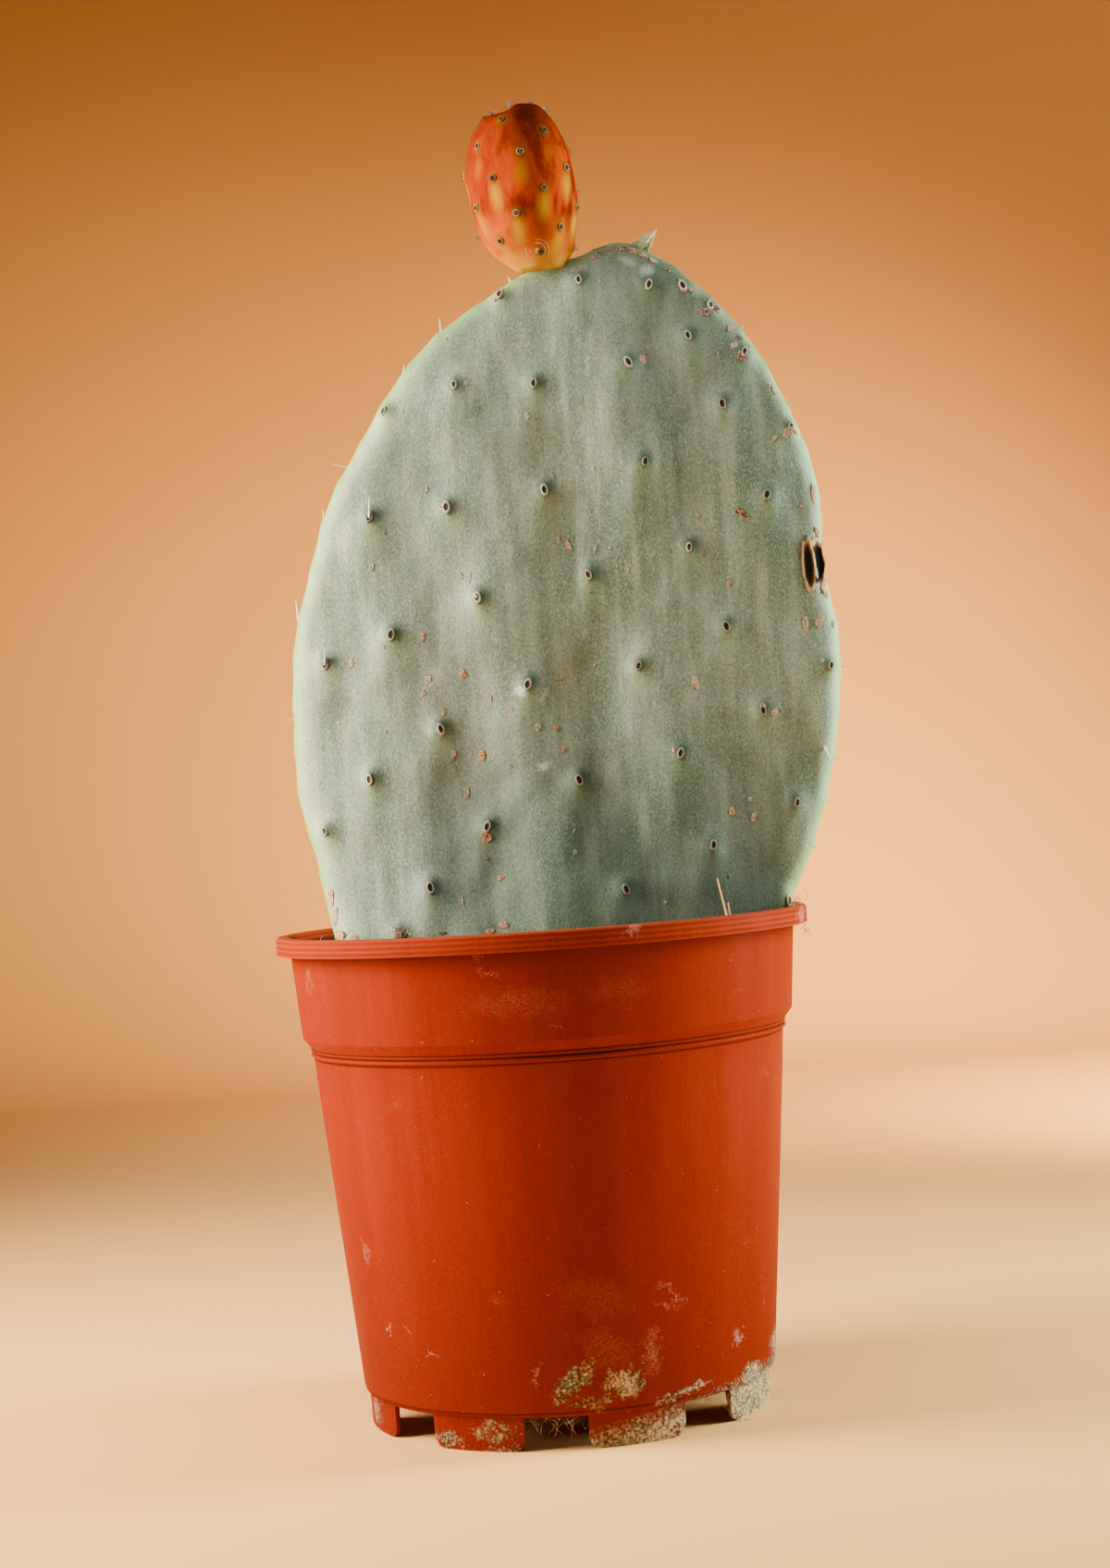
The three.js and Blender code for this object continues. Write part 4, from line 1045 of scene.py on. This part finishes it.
def scar_spots(seed):
    """Every scar as its point, normal, width, length, turn, how open it is and its tint."""
    draw = random.Random(seed)
    spots = [(*on_pad(pad_skin_surface, -1, x, z), *rest) for x, z, *rest in SCARS]
    for x, z, *rest in MARGIN_SCARS:
        spots.append((*pad_skin_surface.find_nearest(at(x, -4, z))[:2], *rest))
    wanted = len(spots) + RANDOM_SCARS
    for side in (-1, 1):
        while len(spots) < wanted:
            x, z = draw.uniform(-82, 114), draw.uniform(4, 240)
            point, normal = on_pad(pad_skin_surface, side, x, z)
            if point is not None:
                width = draw.choice((0.5, 0.7, 0.7, 1.0, 1.4))
                spots.append((point, normal, width, width * draw.uniform(1.1, 2.4), draw.uniform(-25, 25),
                              draw.choice((0, 0, 0.5)), draw.choice((PINK, ORANGE, ORANGE, OLIVE))))
        wanted += RANDOM_SCARS
    return spots


def healed_cork():
    """Healed cork: a rough pale core within a thin darker outline, each scar of its own tint."""
    material, tree, place = new_material("healed cork", 0.8, Specular_IOR_Level=0.1)
    tone = noted(tree, "tone")
    grain = grains(place, 0.7, 4, 0.8)
    tint = "#CBAA84"
    for limit, code in ((0.25, "#C07C36"), (0.5, "#93A070"), (0.75, "#6B4A38")):
        tint = blend(between(tone, limit - 0.01, limit + 0.01), tint, code)
    colour = blend(between(grain, 0.46, 0.56), tint, "#EBDCCB", 0.7)
    colour = blend(between(grain, 0.44, 0.34), colour, "#9A5A34")
    return finished(material, blend(noted(tree, "sunk"), colour, "#3A1D12"), grain, 0.25)


spots = scar_spots(41)
draw = random.Random(42)
flakes, sunk_rings = [], []
for point, normal, width, length, turn, opened, tint in spots:
    seat = Matrix.Translation(point) @ facing(normal, math.radians(turn))
    crumbs = [(0, 0, 0.36 if width > 1.5 else 0.42)]
    for _ in range(3 if width > 1.5 else 1):
        crumbs.append((draw.uniform(-0.3, 0.3) * width, draw.uniform(-0.36, 0.36) * length,
                       draw.uniform(0.14, 0.26)))
    for across, along, share in crumbs:
        stretch = Matrix.Diagonal((width * share * MM, length * share * MM, draw.uniform(0.4, 0.8) * MM, 1))
        flakes.append((seat @ Matrix.Translation((across * MM, along * MM, 0)) @ stretch, tint))
        sunk_rings.append([0.85, 0.75, 0.15, opened * 0.8, opened])
scars = copies("cork_scars", ringed(FLAKE_RINGS, FLAKE_SIDES), flakes, 0.5, 41)
note_sunk(scars, FLAKE_SIDES, sunk_rings)
wear(scars, healed_cork(), None, 70)

# The wound: long dark slots with corky lips, given as x, y, height, width, length and turn in degrees.
WOUND_SLOTS = [(110.4, -9, 127, 3.4, 14, 1), (114.4, -5, 127.5, 4.2, 12, -4)]
SLOT_RINGS = [(1.6, -0.6), (1.5, 0.2), (1.28, 0.62), (1.08, 0.5), (0.9, 0.25), (0.5, 0.14), (0.2, 0.12)]
SLOT_SIDES = 20


def wound_places():
    for x, y, z, width, length, turn in WOUND_SLOTS:
        found, normal, _, _ = pad_skin_surface.find_nearest(at(x, y, z))
        seen = normal + Vector((0, -0.8, 0))
        sizes = (width / 2 * MM, length / 2 * MM, 1.5 * MM)
        yield standing(found, seen, sizes, math.radians(turn)), 0.6


wound = copies("margin_wound", ringed(SLOT_RINGS, SLOT_SIDES), list(wound_places()), 0.3, 43)
note_sunk(wound, SLOT_SIDES, [[0.1, 0.0, 0.4, 0.8, 0.93, 0.97, 0.97], [0.3, 0.5, 0.8, 1.0, 1.0, 1.0, 1.0]])
wear(wound, corky("old wound cork", "#120D0C", "#A0683A", "#DDB584"), None, 70)

# ---- Fruit -----------------------------------------------------------------------------------
# One ripe prickly pear fruit: a fleshy barrel with a sunken crown, smooth waxy skin from orange to
# dark red, yellow below each areole, and areoles in the golden-angle spiral of the species.
FRUIT_FOOT = (FRUIT_AT, 246.5)
FRUIT_PROFILE = [
    (0, 8.6, 0), (3.5, 12, 1.6), (7.5, 15.2, 3.1), (12.5, 17.6, 4.1), (20.5, 19.6, 4.7), (28.5, 20.7, 5.2),
    (35.5, 20.8, 5.7), (43, 20, 6.1), (49.5, 18.2, 6.5), (54.5, 15.8, 6.5), (57.4, 13.5, 6.4),
    (58.5, 11.6, 6.4), (57.7, 9.6, 6.3), (55.6, 7, 6.3), (54.2, 4, 6.3),
]
FRUIT_AREOLES, FRUIT_TURN, FRUIT_PITCH = 34, -137.508, 1.72
FRUIT_FIRST_TURN, FRUIT_FIRST_HEIGHT = 9, 4.7
FRUIT_MIDDLE, FRUIT_HEIGHT = 30, 59.4
FRUIT_SEGMENTS, FRUIT_RINGS = 160, 120
CROWN_TUFTS, CROWN_RADIUS, CROWN_SHIFT, CROWN_HEIGHT = 9, 11.6, 6.4, 58.2
CORK_RINGS_AT = (15, -11.5, 248.4)


def fruit_centre(shift, height):
    return at(FRUIT_FOOT[0] - shift, float(pad_bow(FRUIT_FOOT[1])), FRUIT_FOOT[1] + height)


def crown_rise(across):
    """How much higher the crown stands at a place left or right of its middle."""
    return 2.9 / (1 + ((across - 4.5) / 6.2) ** 6) + 0.6 * np.exp(-(((across + 12) / 3) ** 2))


def fruit_eye(i):
    """The middle of the i-th areole of the spiral and its way out."""
    height = FRUIT_FIRST_HEIGHT + i * FRUIT_PITCH
    levels, radii, shifts = zip(*FRUIT_PROFILE[:12])
    radius, shift = np.interp(height, levels, radii), np.interp(height, levels, shifts)
    turn = math.radians(FRUIT_FIRST_TURN + i * FRUIT_TURN)
    slope = (height - FRUIT_MIDDLE) / 34
    way = Vector((math.sin(turn), -math.cos(turn), slope * abs(slope)))
    flat = Vector((way.x, way.y, 0)) * radius * MM
    return fruit_centre(float(shift), height) + flat, way.normalized()


def fruit_mesh():
    """A sphere whose rings follow the barrel's profile, with a low wart under every areole."""
    deselect()
    bpy.ops.mesh.primitive_uv_sphere_add(segments=FRUIT_SEGMENTS, ring_count=FRUIT_RINGS, radius=1)
    piece = bpy.context.object
    ball = np.array([vert.co for vert in piece.data.vertices])
    profile = np.array([(-0.5, 0.0, 0), (-0.4, 5.0, 0), *FRUIT_PROFILE, (53.8, 0.0, 6.3)])
    steps = np.concatenate([[0], np.cumsum(np.hypot(np.diff(profile[:, 0]), np.diff(profile[:, 1])))])
    share = (1 - np.arccos(np.clip(ball[:, 2], -1, 1)) / math.pi) * steps[-1]
    smooth = np.linspace(0, steps[-1], 400)
    kernel = np.hanning(11) / np.hanning(11).sum()
    curves = []
    for column in range(3):
        line = np.interp(smooth, steps, profile[:, column])
        padded = np.concatenate([line[:1].repeat(5), line, line[-1:].repeat(5)])
        curves.append(np.interp(share, smooth, np.convolve(padded, kernel, "valid")))
    height, radius, shift = curves
    turn = np.arctan2(ball[:, 1], ball[:, 0])
    flat = np.hypot(ball[:, 0], ball[:, 1]) > 1e-6
    radius = radius * flat * (1 + 0.012 * np.sin(5 * turn + height / 9) + 0.01 * np.sin(3 * turn - 1))
    y_middle = float(pad_bow(FRUIT_FOOT[1]))
    height = height + crown_rise(radius * np.cos(turn)) * np.clip((height - 48) / 10, 0, 1)
    places = np.stack([
        AXIS_X + (FRUIT_FOOT[0] - shift + radius * np.cos(turn)) * MM,
        (y_middle + radius * np.sin(turn)) * MM,
        RIM_Z + (FRUIT_FOOT[1] + height) * MM], axis=1)
    near = np.zeros(len(places))
    under = np.zeros(len(places))
    for i in range(FRUIT_AREOLES):
        centre, way = fruit_eye(i)
        away = (places - np.array(centre)) / MM
        near = np.maximum(near, np.exp(-((np.linalg.norm(away, axis=1) / 4.2) ** 2)))
        across = np.cross(np.array((0, 0, 1)), np.array((way.x, way.y, 0)))
        across = across / np.linalg.norm(across)
        facing_side = away @ np.array((way.x, way.y, 0)) > -12
        streak = np.exp(-((away @ across / 3.0) ** 2) - ((away[:, 2] + 6.5) / 6) ** 2) * facing_side
        under = np.maximum(under, streak)
    outwards = np.stack([np.cos(turn), np.sin(turn), np.zeros(len(turn))], axis=1)
    places += outwards * (0.55 * near)[:, None] * MM
    piece.data.vertices.foreach_set("co", places.ravel())
    growth = piece.data.attributes.new("growth", "FLOAT_COLOR", "POINT")
    level = height / FRUIT_HEIGHT
    growth.data.foreach_set("color", np.stack([near, under, level, np.ones(len(near))], axis=1).ravel())
    piece.data.update()
    return settle(piece, "ripe_fruit")


def ripe_skin():
    """Ripe fruit skin: orange flesh colour showing through a thin waxy skin, redder above, brown-red
    at the crown, yellow-green in a streak below each areole, plum-coloured in patches. The plum
    patches lie on the right side only and are partly painted shade; the left side is painted darker
    as painted shade."""
    material, tree, place = new_material("ripe prickly pear skin", 0.5, 1.35, Specular_IOR_Level=0.0)
    near, under, level = parts_of("Color", noted(tree, "growth", "Color"))
    x, _, z = parts_of("XYZ", place)
    pulled = stretched(place, 0.4)
    clouds = grains(pulled, 10, 3)
    patches = grains(pulled, 6, 3)
    fine = grains(pulled, 0.8, 3, 0.7)
    colour = blend(between(clouds, 0.36, 0.6), "#8E2400", "#A63A00")
    colour = blend(between(patches, 0.48, 0.32), colour, "#7C1C06")
    high = calc(level, "-", calc(clouds, "*", 0.3))
    colour = blend(between(high, 0.45, 0.8), colour, "#5A1A02")
    colour = blend(between(high, 0.76, 0.9), colour, "#351004")
    # plum patches on the right side only: partly plum colour, partly painted shade on the side away from
    # the key light
    plum_and_right_shade = calc(between(x, 0.0, 0.018), "*", between(patches, 0.6, 0.42))
    colour = blend(plum_and_right_shade, colour, "#581A0C", 0.9)
    # painted shade: the left side is painted darker red, and so are the yellow streaks there
    painted_left_shade = between(x, -0.008, -0.022)
    colour = blend(painted_left_shade, colour, "#6E1E00", 0.9)
    colour = blend(between(patches, 0.54, 0.4), colour, "#5C1408", 0.5)
    colour = blend(between(level, 0.34, 0.06), colour, "#C66400", 0.6)
    colour = blend(between(level, 0.1, 0.0), colour, "#B98C30")
    yellow = calc(under, "*", between(level, 0.8, 0.5))
    colour = blend(between(yellow, 0.15, 1.0), colour, blend(painted_left_shade, "#A87400", "#985000"))
    colour = blend(between(near, 0.55, 1.1), colour, "#5C4E0A")
    colour = blend(between(fine, 0.55, 0.75), colour, "#CF6A20", 0.2)
    # fine corky rings round the lowest areole, where the fruit joins the pad
    rings_at = at(*CORK_RINGS_AT)
    from_foot = distance(place, rings_at)
    rings = add(tree, "Math", {0: calc(from_foot, "*", 2 * math.pi / (1.1 * MM))}, operation="SINE")
    worn = calc(between(rings, 0.55, 0.95), "*", between(patches, 0.34, 0.5))
    in_reach = calc(between(from_foot, 8 * MM, 6.5 * MM), "*", between(from_foot, 3.5 * MM, 4.5 * MM))
    above = between(z, rings_at.z, rings_at.z + 4 * MM)
    colour = blend(calc(worn, "*", calc(in_reach, "*", above)), colour, "#E2BE92", 0.7)
    return finished(material, colour, fine, 0.05)


fruit = fruit_mesh()
wear(fruit, ripe_skin(), "fruit", 180)
fruit_surface = surface_of(fruit)
fruit_eyes = []
for i in range(FRUIT_AREOLES):
    middle, way = fruit_eye(i)
    found, normal, _, _ = fruit_surface.find_nearest(middle)
    fruit_eyes.append((found, normal, 1.0))
draw = random.Random(51)
eye_spots = []
for found, normal, _ in fruit_eyes:
    size = draw.uniform(0.6, 0.78) * MM
    eye_spots.append((standing(found, normal, (size, size, size * 0.7), draw.random()), draw.random()))
fruit_areoles = copies("fruit_areoles", ringed(EYE_RINGS, EYE_SIDES), eye_spots, 0.14, 51)
note_sunk(fruit_areoles, EYE_SIDES, [[0.9, 0.8, 0.35, 0.1, 0.9, 1.0, 1.0]] * FRUIT_AREOLES)
wear(fruit_areoles, corky("fruit areole cork", "#24140E", "#8A5230", "#C08E66"), None, 70)

crown = []
for i in range(CROWN_TUFTS):
    turn = math.radians(32 + i * 360 / CROWN_TUFTS)
    way = Vector((math.sin(turn), -math.cos(turn), 0))
    rise = float(crown_rise(CROWN_RADIUS * way.x))
    start = fruit_centre(CROWN_SHIFT, CROWN_HEIGHT + rise) + way * CROWN_RADIUS * MM
    crown.append((start, (way * 0.35 + Vector((0, 0, 1))).normalized(), 1.6))
tufts = copies("fruit_bristles", bristle, bristle_places(fruit_eyes, 7, (0.7, 2.0), 0.6, 52, 0.11)
               + bristle_places(crown, 16, (0.7, 2.2), 0.7, 53, 0.13), 0.0, 52)
wear(tufts, by_tone("fruit bristles", "#3B2A20", "#8C7158", 0.5, 0.6), None)

# ---- Dry bud ---------------------------------------------------------------------------------
# A flower bud that dried before it opened: a papery cone of cream and grey-green, leaning right,
# in a ring of brown cork.
BUD_FOOT = (54.7, 253.2)
BUD_LEAN = Vector((0.72, -0.1, 0.69)).normalized()
BUD_RINGS = [
    (3.3, -3.0), (3.6, 0.0), (3.0, 1.5), (2.4, 3.0), (1.8, 4.5), (1.2, 6.0), (0.7, 7.4), (0.2, 8.8),
]
BUD_FLATNESS = 0.6


def bud_mesh():
    """A cone extruded ring by ring and creased into papery folds."""
    deselect()
    radius, z = BUD_RINGS[0]
    bpy.ops.mesh.primitive_circle_add(vertices=28, radius=radius * MM, location=(0, 0, z * MM),
                                      fill_type="NGON")
    piece = bpy.context.object
    bpy.ops.object.mode_set(mode="EDIT")
    for (radius_before, z_before), (radius, z) in zip(BUD_RINGS, BUD_RINGS[1:]):
        growth = radius / radius_before
        draw_out((0, 0, (z - z_before) * MM), (growth, growth, 1), (0, 0, z * MM))
    close_edit()
    settle(piece, "dry_bud_papery")
    for vert in piece.data.vertices:
        turn = math.atan2(vert.co.y, vert.co.x)
        fold = 1 + 0.22 * math.sin(6 * turn + 1) + 0.2 * noise.noise(vert.co / (1.4 * MM))
        vert.co.x = vert.co.x * BUD_FLATNESS * fold
        vert.co.y *= fold
    modify(piece, "SUBSURF", levels=2, render_levels=2)
    base = at(BUD_FOOT[0], float(pad_bow(BUD_FOOT[1])), BUD_FOOT[1])
    piece.data.transform(Matrix.Translation(base) @ facing(BUD_LEAN))
    return piece


def papery_bud():
    """Dried bud scales: matt, cream at the tip, grey-green with dark specks at the foot."""
    material, tree, place = new_material("dried bud scales", 0.85)
    veins = grains(place, 1.1, 6, 0.7)
    paler = between(veins, 0.4, 0.6)
    tip = between(parts_of("XYZ", place)[2], RIM_Z + 253.5 * MM, RIM_Z + 257.5 * MM)
    green = blend(between(veins, 0.46, 0.38), blend(paler, "#7F8C5C", "#C4C99A"), "#33261A")
    colour = blend(tip, green, blend(paler, "#DFDDA6", "#FFFBDC"))
    return finished(material, colour, veins, 0.15)


bud = bud_mesh()
wear(bud, papery_bud(), "dry_bud", 50)

# ---- Straw -----------------------------------------------------------------------------------
# A dry grass stalk, split into two strands, stuck in the mix in front of the pad.
STRAW_STRANDS = [
    [(70.6, -36, -17), (68.4, -32, -3), (65.9, -27, 12)],
    [(71.2, -35.6, -17), (69.8, -31.6, -4), (69.2, -29, 3)],
]
STRAW_RADII = (0.5, 0.34)


def straw_mesh():
    """Each strand is a round of eight sides extruded along its route and narrowed to its tip."""
    strands = []
    for route, radius in zip(STRAW_STRANDS, STRAW_RADII):
        deselect()
        bpy.ops.mesh.primitive_circle_add(vertices=8, radius=radius * MM, location=at(*route[0]),
                                          fill_type="NGON")
        strand = bpy.context.object
        bpy.ops.object.mode_set(mode="EDIT")
        steps = 8
        before = at(*route[0])
        for i in range(1, steps + 1):
            share = i / steps
            weights = ((1 - share) * (1 - 2 * share), 4 * share * (1 - share), share * (2 * share - 1))
            here = at(*[sum(w * p[k] for w, p in zip(weights, route)) for k in range(3)])
            draw_out(here - before, (0.93, 0.93, 0.93), here)
            before = here
        close_edit()
        strands.append(strand)
    return join(strands, "dry_stalk")


def dry_straw():
    """Dry grass: straw yellow and silky along the stalk."""
    material, tree, place = new_material("dry grass stalk", 0.55)
    fibre = grains(stretched(place, 0.2), 0.4, 4)
    return finished(material, blend(between(fibre, 0.35, 0.65), "#A86A30", "#D9A05A"), fibre, 0.1)


straw = straw_mesh()
wear(straw, dry_straw(), "straw", 50)

# ---- Studio ----------------------------------------------------------------------------------
# A sweep of pale warm paper, a large soft box close on the left, a second one on the right, a weak
# one from above, a warm one on the paper behind, and the camera of the photograph: 1 m in front,
# 40 mm above the rim, rolled a little.
SWEEP_WIDTH, SWEEP_FRONT, SWEEP_BACK, SWEEP_HEIGHT, SWEEP_BEND = 5.0, -1.8, 1.2, 2.6, 0.5


def paper_sweep():
    """Paper laid on the table and rolled up behind: a plane whose back edge is bent up and drawn out."""
    deselect()
    bpy.ops.mesh.primitive_plane_add(size=1, location=(0, (SWEEP_FRONT + SWEEP_BACK) / 2, 0))
    floor = bpy.context.object
    floor.scale = (SWEEP_WIDTH, SWEEP_BACK - SWEEP_FRONT, 1)
    settle(floor, "paper_sweep")
    bpy.ops.object.mode_set(mode="EDIT")
    bpy.ops.mesh.select_mode(type="EDGE")
    bpy.ops.mesh.select_all(action="DESELECT")
    mesh = bmesh.from_edit_mesh(floor.data)
    for edge in mesh.edges:
        edge.select_set(all(vert.co.y > SWEEP_BACK - 0.01 for vert in edge.verts))
    bmesh.update_edit_mesh(floor.data)
    steps = 12
    for _ in range(steps):
        bpy.ops.mesh.extrude_region_move()
        bpy.ops.transform.rotate(value=-math.radians(90 / steps), orient_axis="X",
                                 center_override=(0, SWEEP_BACK, SWEEP_BEND))
    bpy.ops.mesh.extrude_region_move(TRANSFORM_OT_translate={"value": (0, 0, SWEEP_HEIGHT)})
    bpy.ops.object.mode_set(mode="OBJECT")
    floor.data.materials.append(new_material("pale warm paper", 0.9, Base_Color=linear("#EAAD60"))[0])
    shade(floor)


def soft_box(name, offset, aim, size, power, colour, spread=180):
    """An area light, placed and aimed by offsets in metres from the plant's middle."""
    middle = at(5, 0, 40)
    light = bpy.data.lights.new(name, "AREA")
    light.spread = math.radians(spread)
    light.shape = "RECTANGLE"
    light.size, light.size_y = size
    light.energy = power
    light.color = linear(colour)[:3]
    holder = bpy.data.objects.new(name, light)
    place, target = middle + Vector(offset), middle + Vector(aim)
    holder.location = place
    holder.rotation_euler = (target - place).to_track_quat("-Z", "Y").to_euler()
    bpy.context.collection.objects.link(holder)


paper_sweep()
soft_box("key", (-0.66, -0.07, 0.24), (-0.05, 0, 0.08), (0.4, 0.6), 19.5, "#FFF1DC", 140)
soft_box("edge", (0.85, 0.1, 0.1), (0, 0, -0.1), (0.35, 0.9), 15, "#F6FFF0", 110)
soft_box("top", (-0.12, -0.4, 0.8), (0, 0, 0.12), (0.5, 0.4), 2.5, "#FFFFFF")
soft_box("backdrop", (0.75, 0.35, -0.1), (0, 1.6, -0.35), (0.3, 0.5), 22, "#FFDFA8", 75)
world = bpy.data.worlds.new("studio")
bpy.context.scene.world = world
world.use_nodes = True
backdrop = world.node_tree.nodes["Background"]
backdrop.inputs["Color"].default_value = linear("#DCEEF0")
backdrop.inputs["Strength"].default_value = 0.1

CAMERA_PLACE = (8.6, -1001.6, 40.0)
CAMERA_PITCH, CAMERA_ROLL = 0.62, 3.73
camera_data = bpy.data.cameras.new("photograph")
camera_data.sensor_width = 36
camera_data.lens = 60.8
camera = bpy.data.objects.new("photograph", camera_data)
bpy.context.collection.objects.link(camera)
camera.location = at(*CAMERA_PLACE)
upright = Matrix.Rotation(math.radians(90 + CAMERA_PITCH), 4, "X")
camera.rotation_euler = (upright @ Matrix.Rotation(math.radians(-CAMERA_ROLL), 4, "Z")).to_euler()
bpy.context.scene.camera = camera
